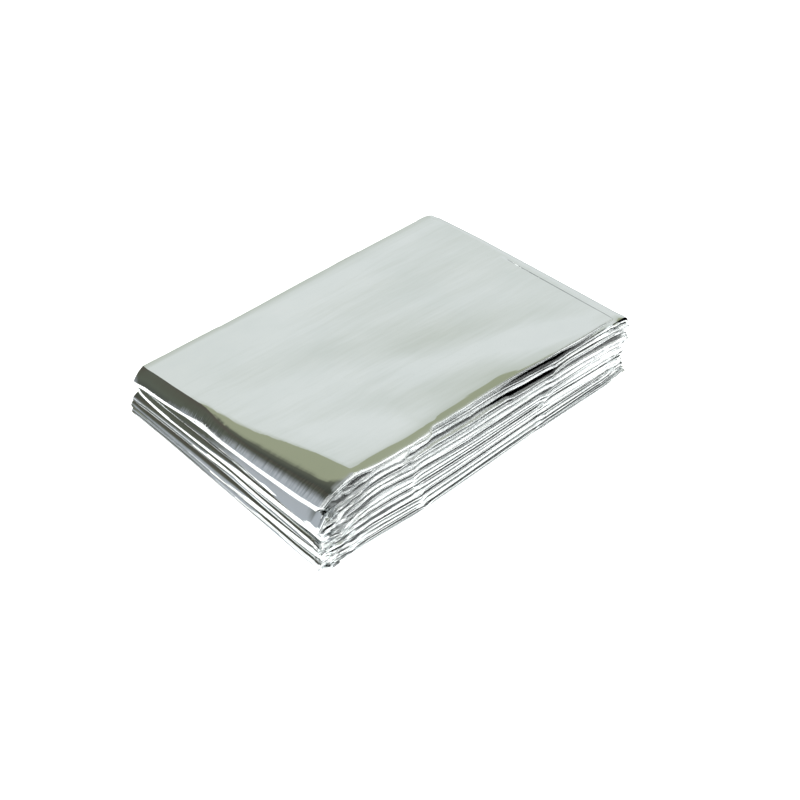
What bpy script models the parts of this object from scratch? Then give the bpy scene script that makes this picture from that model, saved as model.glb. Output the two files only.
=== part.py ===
"""Emergency foil blanket, folded flat to a packet.

One sheet of metallised film lies in a back-and-forth fold of twelve panels. The folds are on the
two short sides, six on the left (-X) and five on the right (+X). The first panel lies on the
surface, and the last one ends a little short of the fold beneath it, on the right. The packet is
loosest, and so highest, at its front corner (-X, -Y).

Units are metres, +Z is up, and the origin is under the middle of the packet's box.
"""

import math
from typing import NamedTuple

import bmesh
import bpy
import numpy as np

MM = 0.001

# Outer size of the packet, from fold tip to fold tip and from edge to edge.
LENGTH = 137 * MM
WIDTH = 98 * MM

# Height of the top skin at the four corners.
HEIGHT_FRONT = 29.8 * MM
HEIGHT_LEFT = 16.8 * MM
HEIGHT_RIGHT = 23.6 * MM
HEIGHT_BACK = 18.0 * MM
# Height at which the panels lie pressed together, with the sheet at its thinnest.
HEIGHT_PRESSED = 16.5 * MM

# The film's plies in one panel, with the air between them, where they are pressed and loose.
SHEET_PRESSED = 1.0 * MM
SHEET_LOOSE = 1.75 * MM

# The stack is a little lower at the front edge, and has broad waves along its length.
EDGE_DROP = 0.09
EDGE_REACH = 5 * MM
WAVE = 0.05
WAVES_ALONG = 1.7

# Two old creases cross the packet, as shares of its length. The panels kink on them.
NEAR_CREASE = 0.27
FAR_CREASE = 0.73

# Ends of the first and the last panel, short of the right-hand folds, at the front and the back.
FIRST_PANEL_SHORT = (3.0 * MM, 6.5 * MM)
LAST_PANEL_SHORT = (5.4 * MM, 4.6 * MM)

# Depth of a fold's hollow on its lower panel.
LOWER_DEPTH = 0.3 * MM

# Where the panels and folds are cut into faces.
PANEL_STOPS = (0.0, 0.07, 0.16, NEAR_CREASE, 0.38, 0.5, 0.62, FAR_CREASE, 0.84, 0.93, 1.0)
EDGE_STOPS = (0.0, 0.03, 0.08, 0.2, 0.35, 0.5, 0.65, 0.8, 0.92, 1.0)
TURN_STEPS = 4
TOP_TURN_STEPS = 9


class Fold(NamedTuple):
    """A fold between two panels. Lengths are in millimetres.

    front, middle and back are how far its tip lies inside the packet's end, depth is that of the
    hollow in which the upper panel comes down to the tip, and level is the tip's height in the
    space between the two panels. near and far are how far the sheet's long edges lie inside the
    packet's front and back sides at the fold.
    """

    front: float
    middle: float
    back: float
    depth: float
    level: float
    near: float
    far: float


class Panel(NamedTuple):
    """Long edges of a panel at its two creases, inside the packet's sides, in millimetres."""

    front_near_crease: float
    front_far_crease: float
    back_near_crease: float
    back_far_crease: float


class Space(NamedTuple):
    """Shares of the loose height that one space between panels takes, along the length.

    An even share is 1. The shares at the two creases fade to 1 towards the back.
    """

    left: float
    near_crease: float
    far_crease: float
    right: float


# Bottom to top: rows 0, 2, 4 ... turn on the left, rows 1, 3, 5 ... on the right.
FOLDS = (
    Fold(front=0.6, middle=0.5, back=0.3, depth=0.3, level=0.5, near=2.0, far=0.6),
    Fold(front=2.8, middle=2.2, back=1.4, depth=0.3, level=0.5, near=3.4, far=0.0),
    Fold(front=1.5, middle=0.0, back=0.0, depth=0.3, level=0.5, near=2.6, far=0.9),
    Fold(front=3.4, middle=1.6, back=0.8, depth=0.4, level=0.5, near=2.8, far=0.3),
    Fold(front=0.9, middle=1.5, back=1.4, depth=0.3, level=0.5, near=2.8, far=1.3),
    Fold(front=3.0, middle=2.4, back=1.8, depth=0.4, level=0.5, near=3.9, far=0.5),
    Fold(front=2.2, middle=1.3, back=4.2, depth=0.3, level=0.5, near=3.8, far=0.8),
    Fold(front=0.6, middle=1.0, back=0.0, depth=0.5, level=0.5, near=3.2, far=1.0),
    Fold(front=1.4, middle=2.0, back=4.6, depth=0.4, level=0.5, near=3.4, far=1.5),
    Fold(front=0.0, middle=0.0, back=0.7, depth=1.4, level=0.35, near=3.6, far=0.7),
    Fold(front=2.4, middle=1.8, back=1.8, depth=5.7, level=0.12, near=4.6, far=0.6),
)

# Bottom to top.
PANELS = (
    Panel(0.0, 1.8, 0.4, 0.8),
    Panel(0.6, 2.6, 0.9, 0.0),
    Panel(0.3, 1.9, 0.3, 1.1),
    Panel(1.6, 3.2, 1.2, 0.6),
    Panel(2.6, 2.4, 0.0, 0.9),
    Panel(1.9, 3.6, 0.7, 1.4),
    Panel(3.2, 2.6, 1.1, 0.2),
    Panel(2.6, 3.4, 0.5, 1.0),
    Panel(3.6, 4.2, 1.3, 0.4),
    Panel(3.0, 2.9, 0.6, 1.2),
    Panel(4.0, 4.0, 1.0, 0.5),
    Panel(3.8, 3.4, 0.8, 0.9),
)

# Bottom to top.
SPACES = (
    Space(1.0, 0.8, 1.1, 1.0),
    Space(1.2, 1.3, 0.9, 1.1),
    Space(0.9, 1.0, 1.4, 0.9),
    Space(1.0, 1.6, 0.9, 1.2),
    Space(1.1, 0.9, 1.2, 1.0),
    Space(1.3, 1.2, 1.0, 1.1),
    Space(0.9, 1.4, 1.1, 3.2),
    Space(1.5, 0.9, 1.3, 0.9),
    Space(1.0, 1.1, 0.9, 1.0),
    Space(1.4, 1.5, 1.2, 1.1),
    Space(2.7, 1.6, 4.2, 1.3),
)


def lerp(start, end, share):
    """Return the value at a share of the way from start to end."""
    return start + (end - start) * share


def stack_height(x, y):
    """Return the height of the top skin at a place in the packet."""
    right = x / LENGTH + 0.5
    back = y / WIDTH + 0.5
    front_side = lerp(HEIGHT_FRONT, HEIGHT_RIGHT, right)
    back_side = lerp(HEIGHT_LEFT, HEIGHT_BACK, right)
    loose = lerp(front_side, back_side, back) - HEIGHT_PRESSED
    drop = EDGE_DROP * math.exp(-back * WIDTH / EDGE_REACH)
    wave = WAVE * math.sin(2 * math.pi * WAVES_ALONG * right) * (1 - back)
    return HEIGHT_PRESSED + loose * (1 - drop + wave)


def sheet_thickness(x, y):
    """Return the thickness of one panel at a place: thickest where the packet is loosest."""
    looseness = (stack_height(x, y) - HEIGHT_PRESSED) / (HEIGHT_FRONT - HEIGHT_PRESSED)
    return lerp(SHEET_PRESSED, SHEET_LOOSE, looseness)


def skin_heights(x, y):
    """Return the lower and upper skin heights of every panel at a place, bottom to top."""
    thickness = sheet_thickness(x, y)
    right = x / LENGTH + 0.5
    fade = 0.5 - y / WIDTH
    places = (0.0, NEAR_CREASE, FAR_CREASE, 1.0)
    shares = []
    for space in SPACES:
        near = lerp(1.0, space.near_crease, fade)
        far = lerp(1.0, space.far_crease, fade)
        shares.append(np.interp(right, places, (space.left, near, far, space.right)))
    unit = (stack_height(x, y) - thickness * len(PANELS)) / sum(shares)
    lower = [0.0]
    for share in shares:
        lower.append(lower[-1] + thickness + share * unit)
    return [(level, level + thickness) for level in lower]


def fold_side(index):
    """Return -1 for a fold on the left and +1 for one on the right."""
    return -1 if index % 2 == 0 else 1


def fold_tip(index, across):
    """Return a fold's tip position along X, at a share of the way from front to back."""
    fold = FOLDS[index]
    inside = np.interp(across, (0.0, 0.5, 1.0), (fold.front, fold.middle, fold.back)) * MM
    return fold_side(index) * (LENGTH / 2 - inside)


def shoulder(index, upper, across, y):
    """Return where a fold's curve starts along X, on its upper or lower panel."""
    tip = fold_tip(index, across)
    depth = FOLDS[index].depth * MM if upper else LOWER_DEPTH
    return tip - fold_side(index) * (depth + sheet_thickness(tip, y))


def panel_ends(index, across, y):
    """Return the X positions at which a panel's straight run starts and ends."""
    if index == 0:
        start = LENGTH / 2 - lerp(*FIRST_PANEL_SHORT, across)
    else:
        start = shoulder(index - 1, True, across, y)
    if index == len(PANELS) - 1:
        end = LENGTH / 2 - lerp(*LAST_PANEL_SHORT, across)
    else:
        end = shoulder(index, False, across, y)
    return start, end


def panel_point(index, share, across, y, on_a):
    """Return the X and Z of a point on one skin of a panel's straight run."""
    x = lerp(*panel_ends(index, across, y), share)
    lower, upper = skin_heights(x, y)[index]
    is_upper = on_a == (index % 2 == 0)
    return x, upper if is_upper else lower


def turn_point(index, turn, across, y, on_a):
    """Return the X and Z of a point on one skin of a fold.

    turn runs from -1 on the lower panel, through 0 at the tip, to 1 on the upper panel.
    """
    side = fold_side(index)
    tip = fold_tip(index, across)
    start = shoulder(index, turn > 0, across, y)
    below, above = skin_heights(start, y)[index:index + 2]
    level = lerp(below[1], above[0], FOLDS[index].level)
    outer = on_a != (index % 2 == 0)
    reach = abs(tip - start)
    if not outer:
        reach -= sheet_thickness(tip, y)
    if turn > 0:
        rise = (above[1] if outer else above[0]) - level
    else:
        rise = (below[0] if outer else below[1]) - level
    angle = abs(turn) * math.pi / 2
    return start + side * reach * math.cos(angle), level + rise * math.sin(angle)


def section_steps():
    """Return the steps along the sheet: whether each is on a fold, its row and its share."""
    steps = []
    for index in range(len(PANELS)):
        steps += [(False, index, stop) for stop in PANEL_STOPS]
        if index < len(FOLDS):
            count = TOP_TURN_STEPS if index == len(FOLDS) - 1 else TURN_STEPS
            lower = [(True, index, -1 + step / TURN_STEPS) for step in range(1, TURN_STEPS)]
            upper = [(True, index, step / count) for step in range(count)]
            steps += lower + upper
    return steps


def edge_inset(steps, front):
    """Return how far the sheet's front or back edge lies inside the packet at each step."""
    places = []
    insets = []
    for place, (on_fold, index, share) in enumerate(steps):
        panel = PANELS[index] if not on_fold else None
        if on_fold and share == 0:
            places.append(place)
            insets.append(FOLDS[index].near if front else FOLDS[index].far)
        elif panel and share in (NEAR_CREASE, FAR_CREASE):
            leftward = index % 2 == 0
            at_near = (share == NEAR_CREASE) != leftward
            if front:
                inset = panel.front_near_crease if at_near else panel.front_far_crease
            else:
                inset = panel.back_near_crease if at_near else panel.back_far_crease
            places.append(place)
            insets.append(inset)
    return np.interp(range(len(steps)), places, insets) * MM


def film_slab(steps):
    """Return a flat closed slab, one vertex to each step, edge stop and skin."""
    bm = bmesh.new()
    bmesh.ops.create_grid(bm, x_segments=len(steps) - 1, y_segments=len(EDGE_STOPS) - 1, size=1)
    second = bmesh.ops.extrude_face_region(bm, geom=bm.faces[:])["geom"]
    raised = [part for part in second if isinstance(part, bmesh.types.BMVert)]
    bmesh.ops.translate(bm, vec=(0, 0, 1), verts=raised)
    return bm


def fold_up(bm, steps):
    """Move every vertex of the flat slab to its place in the folded sheet."""
    front = edge_inset(steps, front=True)
    back = edge_inset(steps, front=False)
    for vert in bm.verts:
        place = round((vert.co.x + 1) / 2 * (len(steps) - 1))
        across = EDGE_STOPS[round((vert.co.y + 1) / 2 * (len(EDGE_STOPS) - 1))]
        on_fold, index, share = steps[place]
        y = lerp(-WIDTH / 2 + front[place], WIDTH / 2 - back[place], across)
        find = turn_point if on_fold else panel_point
        x, z = find(index, share, across, y, vert.co.z > 0.5)
        vert.co = (x, y, z)


def make_material():
    """Return the bright metallised film."""
    material = bpy.data.materials.new("metallised_film")
    material.use_nodes = True
    shader = material.node_tree.nodes["Principled BSDF"]
    shader.inputs["Base Color"].default_value = (0.86, 0.87, 0.87, 1)
    shader.inputs["Metallic"].default_value = 1.0
    shader.inputs["Roughness"].default_value = 0.12
    return material


def make_blanket():
    """Build the folded sheet as one closed solid."""
    steps = section_steps()
    bm = film_slab(steps)
    fold_up(bm, steps)
    bmesh.ops.recalc_face_normals(bm, faces=bm.faces)
    if bm.calc_volume(signed=True) < 0:
        bmesh.ops.reverse_faces(bm, faces=bm.faces)
    mesh = bpy.data.meshes.new("foil_blanket")
    bm.to_mesh(mesh)
    bm.free()
    mesh.shade_smooth()
    mesh.set_sharp_from_angle(angle=math.radians(40))
    mesh.materials.append(make_material())
    blanket = bpy.data.objects.new("foil_blanket", mesh)
    bpy.context.scene.collection.objects.link(blanket)


def main():
    """Clear the scene and build the blanket."""
    for old in list(bpy.data.objects):
        bpy.data.objects.remove(old, do_unlink=True)
    make_blanket()


main()
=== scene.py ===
"""Emergency foil blanket, folded to a packet: the film itself, its finish, and the studio.

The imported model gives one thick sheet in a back-and-forth fold. Here the same folds are laid with
thin film. The film is first pleated across its width into five plies, and that strip is then
folded back and forth along the packet's long side, as a real blanket is. Both foldings keep to the
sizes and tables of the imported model, which are repeated below.

Units are metres, +Z is up, -X is left, -Y is the front. The tables are in millimetres.
"""

import logging
import math
from dataclasses import astuple, dataclass
from enum import Enum
from typing import Sequence

import bmesh
import bpy
import numpy as np
from mathutils import Matrix, Vector

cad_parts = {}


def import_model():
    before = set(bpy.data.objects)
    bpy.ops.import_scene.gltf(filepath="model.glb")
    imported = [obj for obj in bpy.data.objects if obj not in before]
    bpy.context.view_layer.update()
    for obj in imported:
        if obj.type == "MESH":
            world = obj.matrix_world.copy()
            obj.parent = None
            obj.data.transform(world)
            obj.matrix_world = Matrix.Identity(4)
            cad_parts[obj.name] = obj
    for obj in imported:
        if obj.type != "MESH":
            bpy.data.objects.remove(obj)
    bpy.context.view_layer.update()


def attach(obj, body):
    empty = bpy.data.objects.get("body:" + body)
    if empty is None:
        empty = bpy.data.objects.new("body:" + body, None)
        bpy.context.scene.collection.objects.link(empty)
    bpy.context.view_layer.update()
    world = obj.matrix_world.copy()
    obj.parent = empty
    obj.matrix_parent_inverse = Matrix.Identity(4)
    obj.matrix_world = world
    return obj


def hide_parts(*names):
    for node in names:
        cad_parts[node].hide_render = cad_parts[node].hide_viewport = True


LOG = logging.getLogger("foil_blanket")
MM = 0.001
# More than a rounding error, and less than any step from one ply to the next.
ROUNDING = 1e-6
PLACE_ATTRIBUTE = "film_place"
# Painted shade between the plies: how far the film's coat is darkened there, from 0 to 1.
PAINTED_SHADE_ATTRIBUTE = "painted_shade_between_plies"

Array = np.ndarray
# Places and the values there, read in straight lines between them.
Table = tuple[tuple[float, float], ...]
# Where a smooth change starts, and the distance over which it comes.
Reach = tuple[float, float]
# Least and largest spacing of an uneven line's knots, and its largest height either way.
Uneven = tuple[float, float, float]


class Ply(Enum):
    """The plies of the pleated strip, by their place through its thickness."""

    OUTER = 1.0
    SECOND = 0.75
    MIDDLE = 0.5
    FOURTH = 0.25
    INNER = 0.0


@dataclass(frozen=True)
class Fold:
    """A fold between two panels, in millimetres.

    front, middle and back are how far its tip lies inside the packet's end, depth is the hollow
    in which the upper panel comes down to the tip, level is the tip's height in the space between
    the panels, and near and far are how far the long edges lie inside the packet's sides.
    """

    front: float
    middle: float
    back: float
    depth: float
    level: float
    near: float
    far: float


@dataclass(frozen=True)
class Panel:
    """Long edges of a panel at the two old creases, inside the packet's sides, in millimetres."""

    front_near_crease: float
    front_far_crease: float
    back_near_crease: float
    back_far_crease: float


@dataclass(frozen=True)
class Space:
    """Shares of the loose height that one space between panels takes, along the length."""

    left: float
    near_crease: float
    far_crease: float
    right: float


@dataclass(frozen=True)
class Ridge:
    """A soft ridge, or a trough where the height is negative, on the top panel.

    It runs from x0, y0 to x1, y1 and is width wide at half its height, all in millimetres.
    """

    x0: float
    y0: float
    x1: float
    y1: float
    width: float
    height: float


@dataclass(frozen=True)
class Roll:
    """The top panel's turn down to its left fold, at one place across, in millimetres.

    It starts to tip at x brink and reaches a slope, in degrees, at x brow, where the fold starts.
    There it turns steep, steeper and upright over the lengths first, second and third.
    """

    y: float
    brink: float
    brow: float
    slope: float
    first: float
    second: float
    third: float


@dataclass(frozen=True)
class Brim:
    """The top panel's front edge at one place along, in millimetres.

    inset is how far it lies inside the packet's side, and hang how wide the strip is that tips
    down to it.
    """

    x: float
    inset: float
    hang: float


@dataclass(frozen=True)
class Slope:
    """How a lower left fold slopes down to its tip, at its front and its back end.

    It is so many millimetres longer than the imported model's and its tip lies so many panel
    thicknesses lower. A corner above 1 makes its section pointed, one below 1 makes it square.
    Turn is the share of the way back at which the change is halfway.
    """

    longer: tuple[float, float]
    drop: tuple[float, float]
    corner: tuple[float, float]
    turn: float


@dataclass(frozen=True)
class Gap:
    """A gap under a panel's front edge: how far it opens at places along X, in millimetres.

    It closes where the opening is negative.
    """

    panel: int
    openings: Table


# Bottom to top: rows 0, 2, 4 ... turn on the left, rows 1, 3, 5 ... on the right.
FOLDS = (
    Fold(front=0.6, middle=0.5, back=0.0, depth=0.3, level=0.5, near=2.0, far=0.0),
    Fold(front=2.8, middle=2.2, back=1.4, depth=0.3, level=0.5, near=3.0, far=0.0),
    Fold(front=1.5, middle=0.0, back=0.0, depth=0.3, level=0.5, near=2.4, far=0.2),
    Fold(front=3.4, middle=1.6, back=0.8, depth=0.4, level=0.5, near=3.0, far=0.3),
    Fold(front=0.9, middle=1.3, back=0.8, depth=0.3, level=0.5, near=2.8, far=0.4),
    Fold(front=3.0, middle=2.4, back=1.8, depth=0.4, level=0.5, near=3.2, far=0.5),
    Fold(front=2.2, middle=1.3, back=3.4, depth=0.3, level=0.5, near=3.5, far=0.5),
    Fold(front=0.6, middle=1.0, back=0.0, depth=0.5, level=0.5, near=3.2, far=1.0),
    Fold(front=2.0, middle=2.0, back=3.2, depth=0.4, level=0.5, near=3.4, far=0.7),
    Fold(front=0.0, middle=0.0, back=0.7, depth=1.4, level=0.35, near=3.6, far=0.7),
    Fold(front=2.4, middle=1.8, back=1.8, depth=5.7, level=0.12, near=4.6, far=0.4),
)

# Bottom to top.
PANELS = (
    Panel(0.3, 1.9, 0.4, 0.8),
    Panel(0.5, 2.1, 0.9, 0.0),
    Panel(0.7, 2.2, 0.3, 1.1),
    Panel(1.1, 2.5, 1.2, 0.6),
    Panel(1.5, 2.6, 0.0, 0.9),
    Panel(1.9, 2.9, 0.7, 1.4),
    Panel(2.4, 3.0, 1.1, 0.2),
    Panel(2.6, 3.4, 0.5, 1.0),
    Panel(3.3, 3.8, 1.3, 0.4),
    Panel(3.1, 3.3, 0.6, 1.2),
    Panel(4.0, 4.0, 1.0, 0.5),
    Panel(3.8, 3.4, 0.8, 0.9),
)
TOP_PANEL = len(PANELS) - 1
UNDER_PANEL = TOP_PANEL - 1
TOP_FOLD = len(FOLDS) - 1
PLIES = len(Ply)

# Bottom to top.
SPACES = (
    Space(1.0, 0.8, 1.1, 1.0),
    Space(1.2, 1.3, 0.9, 1.1),
    Space(0.9, 1.0, 1.4, 0.9),
    Space(1.0, 1.6, 0.9, 1.2),
    Space(1.1, 0.9, 1.2, 1.0),
    Space(1.3, 1.2, 1.0, 1.1),
    Space(0.9, 1.4, 1.1, 3.2),
    Space(1.5, 0.9, 1.3, 0.9),
    Space(1.0, 1.1, 0.9, 1.0),
    Space(1.4, 1.5, 1.2, 1.1),
    Space(2.7, 1.6, 4.2, 1.3),
)

# The long fold mark, and the soft unevenness round it.
RIDGES = (
    Ridge(-18, 7.3, 52, 7.0, 1.5, 0.05),
    Ridge(-16, -5, 62, -36, 13, -0.34),
    Ridge(-30, -20, 60, -43, 11, 0.20),
    Ridge(-58, 14, -4, -2, 15, -0.11),
    Ridge(-56, 30, 4, 10, 14, 0.11),
    Ridge(-52, -14, -16, -33, 10, -0.14),
    Ridge(-10, 28, 60, 24, 12, 0.08),
    Ridge(-30, 40, 40, 38, 12, -0.08),
    Ridge(-6, 12, 34, 2, 5, 0.05),
    Ridge(6, -2, 50, -8, 6, 0.07),
    Ridge(-34, -6, 2, -14, 5, 0.06),
    Ridge(10, 18, 56, 12, 5, -0.05),
)

# From front to back.
ROLLS = (
    Roll(-49, -51.0, -57.4, 18.8, 3.7, 4.6, 1.8),
    Roll(-37, -51.3, -59.5, 18.8, 2.7, 4.4, 1.6),
    Roll(-32, -52.3, -60.3, 18.8, 2.3, 4.3, 1.5),
    Roll(-26, -53.7, -61.2, 18.8, 1.9, 4.0, 1.4),
    Roll(-16, -56.3, -62.4, 18.8, 1.6, 3.5, 1.2),
    Roll(-10, -58.0, -62.9, 18.8, 1.5, 3.2, 1.1),
    Roll(-6, -58.9, -63.2, 18.8, 1.5, 3.0, 1.0),
    Roll(0, -59.6, -63.1, 18.8, 1.8, 2.9, 0.9),
    Roll(8, -60.3, -62.5, 20, 2.1, 2.9, 0.8),
    Roll(14, -61.3, -61.6, 25, 2.5, 2.9, 0.7),
    Roll(20, -61.8, -61.82, 27, 2.7, 3.1, 0.6),
    Roll(30, -62.0, -62.02, 27, 2.8, 3.3, 0.5),
    Roll(49, -61.9, -61.92, 27, 2.9, 3.4, 0.5),
)

# From left to right.
BRIMS = (
    Brim(-58, 4.4, 0.1),
    Brim(-54, 4.0, 0.9),
    Brim(-51, 3.8, 1.9),
    Brim(-45, 3.9, 2.8),
    Brim(-36, 4.2, 2.8),
    Brim(-33, 4.5, 2.2),
    Brim(-27, 4.9, 2.1),
    Brim(-24, 6.2, 0.9),
    Brim(-17, 6.4, 0.9),
    Brim(-15, 6.5, 2.1),
    Brim(-4, 6.7, 1.9),
    Brim(6, 6.5, 1.3),
    Brim(13, 6.3, 0.5),
    Brim(18, 6.1, 0.2),
    Brim(33, 5.4, 0.2),
    Brim(50, 5.6, 0.2),
    Brim(62, 6.2, 0.2),
)

GAPS = (
    Gap(11, (
        (-4, 0.0), (4, -0.5), (12, -0.6), (19, -0.1), (28, -0.1), (34, 0.0), (40, -0.5), (50, -0.3),
        (60, 0.0))),
    Gap(10, (
        (-6, 0.0), (2, -0.4), (11, -0.4), (12.5, 0.35), (31, 0.4), (34, 0.0), (38, -0.3), (48, 0.0))),
    Gap(9, ((46, 0.0), (56, 0.3), (63, 0.5), (68, 0.9))),
    Gap(7, ((-67, 0.2), (-62, 0.9), (-55, 0.6), (-49, 0.3), (-42, 0.0))),
    Gap(5, ((34, 0.0), (44, 0.2), (58, 0.5), (68, 1.1))),
)

# Bottom to top: folds 0, 2, 4, 6 and 8.
SLOPES = (
    Slope((0.2, 1.5), (0.10, 0.95), (0.6, 1.5), 0.30),
    Slope((0.2, 1.5), (0.15, 0.95), (0.6, 1.4), 0.38),
    Slope((0.2, 1.4), (0.15, 0.90), (0.6, 1.4), 0.50),
    Slope((0.3, 1.3), (0.20, 0.90), (0.7, 1.5), 0.55),
    Slope((1.2, 1.1), (1.50, 1.00), (2.0, 2.2), 0.50),
)


def lerp(start: float | Array, end: float | Array, share: float | Array) -> float | Array:
    """Return the value at a share of the way from start to end."""
    return start + (end - start) * share


def smooth(share: float | Array) -> float | Array:
    """Return a share that leaves 0 and reaches 1 without a corner, held between them."""
    held = np.clip(share, 0.0, 1.0)
    return held * held * (3 - 2 * held)


def onset(value: float | Array, reach: Reach) -> float | Array:
    """Return 0 before a change starts, 1 once it has come, and a smooth share between."""
    start, distance = reach
    return smooth((value - start) / distance)


def read(table: Table, place: float | Array) -> float | Array:
    """Return a table's value at a place, in straight lines between its stops."""
    places, values = zip(*table)
    return np.interp(place, places, values)


def size_at(rows: Sequence, axis: str, name: str, place: Array) -> Array:
    """Return one size of a table's rows, by its name, at millimetre places on one axis."""
    return read([(getattr(row, axis), getattr(row, name)) for row in rows], place)


def linear(colour: str) -> tuple[float, float, float, float]:
    """Turn an sRGB hex colour to linear RGBA.

    Args:
        colour: Six hex digits after a hash.

    Returns:
        Linear red, green and blue, with an alpha of 1.
    """
    parts = [int(colour[start:start + 2], 16) / 255 for start in (1, 3, 5)]
    red, green, blue = (c / 12.92 if c <= 0.04045 else ((c + 0.055) / 1.055) ** 2.4 for c in parts)
    return red, green, blue, 1.0


def add_node(tree: bpy.types.NodeTree, kind: str, links: dict | None = None, **settings) -> bpy.types.Node:
    """Add a node with its settings and links.

    Args:
        tree: The node tree.
        kind: The node's type.
        links: Socket name or number to the output socket, or the value, that it gets.
        **settings: Attributes of the node itself.

    Returns:
        The new node.
    """
    node = tree.nodes.new(kind)
    for name, value in settings.items():
        setattr(node, name, value)
    for name, source in (links or {}).items():
        if isinstance(source, bpy.types.NodeSocket):
            tree.links.new(source, node.inputs[name])
        else:
            node.inputs[name].default_value = source
    return node


def ramp(node: bpy.types.Node, stops: Sequence[tuple[float, str]]) -> bpy.types.NodeSocket:
    """Set a colour ramp's stops.

    Args:
        node: The colour ramp's node.
        stops: Places along the ramp, and hex colours.

    Returns:
        The node's colour output.
    """
    elements = node.color_ramp.elements
    while len(elements) < len(stops):
        elements.new(0.5)
    for element, (place, colour) in zip(elements, stops):
        element.position = place
        element.color = linear(colour)
    return node.outputs["Color"]


def link_mesh(name: str, bm: bmesh.types.BMesh) -> bpy.types.Object:
    """Turn a bmesh into an object of the scene.

    Args:
        name: Name of the object and of its mesh.
        bm: The bmesh, which is freed.

    Returns:
        The new object, at the origin.
    """
    mesh = bpy.data.meshes.new(name)
    bm.to_mesh(mesh)
    bm.free()
    piece = bpy.data.objects.new(name, mesh)
    bpy.context.scene.collection.objects.link(piece)
    return piece


@dataclass(frozen=True)
class PacketShape:
    """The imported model's own sizes, and the surfaces that follow from them."""

    length: float = 137 * MM
    width: float = 98 * MM
    height_front: float = 29.8 * MM
    height_left: float = 16.8 * MM
    height_right: float = 23.6 * MM
    height_back: float = 18.0 * MM
    height_pressed: float = 16.5 * MM
    sheet_pressed: float = 1.0 * MM
    sheet_loose: float = 1.75 * MM
    edge_drop: float = 0.09
    edge_reach: float = 5 * MM
    wave: float = 0.05
    waves_along: float = 1.7
    near_crease: float = 0.27
    far_crease: float = 0.73
    first_panel_short: tuple[float, float] = (3.0 * MM, 6.5 * MM)
    last_panel_short: tuple[float, float] = (5.4 * MM, 4.6 * MM)
    lower_depth: float = 0.3 * MM

    def back_share(self, y: Array) -> Array:
        """Return the share of the way from the packet's front to its back."""
        return np.clip(y / self.width + 0.5, 0, 1)

    def stack_height(self, x: Array, y: Array) -> Array:
        """Return the height of the top skin.

        Args:
            x: Places along X.
            y: Places along Y.

        Returns:
            The heights there.
        """
        right = x / self.length + 0.5
        back = y / self.width + 0.5
        front_side = lerp(self.height_front, self.height_right, right)
        back_side = lerp(self.height_left, self.height_back, right)
        loose = lerp(front_side, back_side, back) - self.height_pressed
        drop = self.edge_drop * np.exp(-np.maximum(back, 0) * self.width / self.edge_reach)
        wave = self.wave * np.sin(2 * math.pi * self.waves_along * right) * (1 - back)
        return self.height_pressed + loose * (1 - drop + wave)

    def sheet_thickness(self, x: Array, y: Array) -> Array:
        """Return the thickness of one panel at places in the packet."""
        loose = self.stack_height(x, y) - self.height_pressed
        return lerp(self.sheet_pressed, self.sheet_loose, loose / (self.height_front - self.height_pressed))

    def lower_skins(self, x: Array, y: Array) -> Array:
        """Return the height of every panel's lower skin.

        Args:
            x: Places along X.
            y: Places along Y.

        Returns:
            One row of heights for each panel, bottom to top.
        """
        thickness = self.sheet_thickness(x, y)
        right = x / self.length + 0.5
        fade = 0.5 - y / self.width
        places = (0.0, self.near_crease, self.far_crease, 1.0)
        hats = [np.interp(right, places, row) for row in np.eye(4)]
        shares = np.array([
            space.left * hats[0] + lerp(1.0, space.near_crease, fade) * hats[1]
            + lerp(1.0, space.far_crease, fade) * hats[2] + space.right * hats[3]
            for space in SPACES
        ])
        unit = (self.stack_height(x, y) - thickness * len(PANELS)) / shares.sum(axis=0)
        steps = thickness + shares * unit
        return np.concatenate([np.zeros_like(steps[:1]), np.cumsum(steps, axis=0)])

    def fold_side(self, index: int) -> int:
        """Return -1 for a fold on the left and +1 for one on the right."""
        return -1 if index % 2 == 0 else 1

    def fold_tip(self, index: int, across: Array) -> Array:
        """Return a fold's tip along X.

        Args:
            index: The fold, from the bottom.
            across: Shares of the way from front to back.

        Returns:
            The tip's places along X.
        """
        fold = FOLDS[index]
        inside = np.interp(across, (0.0, 0.5, 1.0), (fold.front, fold.middle, fold.back)) * MM
        return self.fold_side(index) * (self.length / 2 - inside)

    def shoulder(self, index: int, upper: bool, across: Array, y: Array) -> Array:
        """Return where a fold's curve starts.

        Args:
            index: The fold, from the bottom.
            upper: Whether on its upper panel.
            across: Shares of the way from front to back.
            y: Places along Y.

        Returns:
            Places along X.
        """
        tip = self.fold_tip(index, across)
        depth = FOLDS[index].depth * MM if upper else self.lower_depth
        return tip - self.fold_side(index) * (depth + self.sheet_thickness(tip, y))


@dataclass(frozen=True)
class Step:
    """One step along the folded strip: a share of a panel's run, or of a fold's turn.

    A fold's share runs from -1 on its lower panel, by 0 at its tip, to 1 on its upper panel.
    """

    on_fold: bool
    index: int
    share: float


@dataclass(frozen=True)
class Rank:
    """One row of points across the strip.

    ply is its place through the pleats, across its share of the way from the front zone to the
    back zone, from_front and from_back its distance from those edges where it lies in a zone,
    and bulge its share of the way round a pleat's edge, negative at the front.
    """

    ply: float
    across: float
    from_front: float = 0.0
    from_back: float = 0.0
    bulge: float = 0.0

    def line(self, front: bool) -> int:
        """Return which of the three edges it belongs to, counted from the outer ply."""
        plies_in = (Ply.OUTER.value - self.ply) * (PLIES - 1)
        return int((plies_in + (0 if front else 1)) / 2 + ROUNDING)


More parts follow.
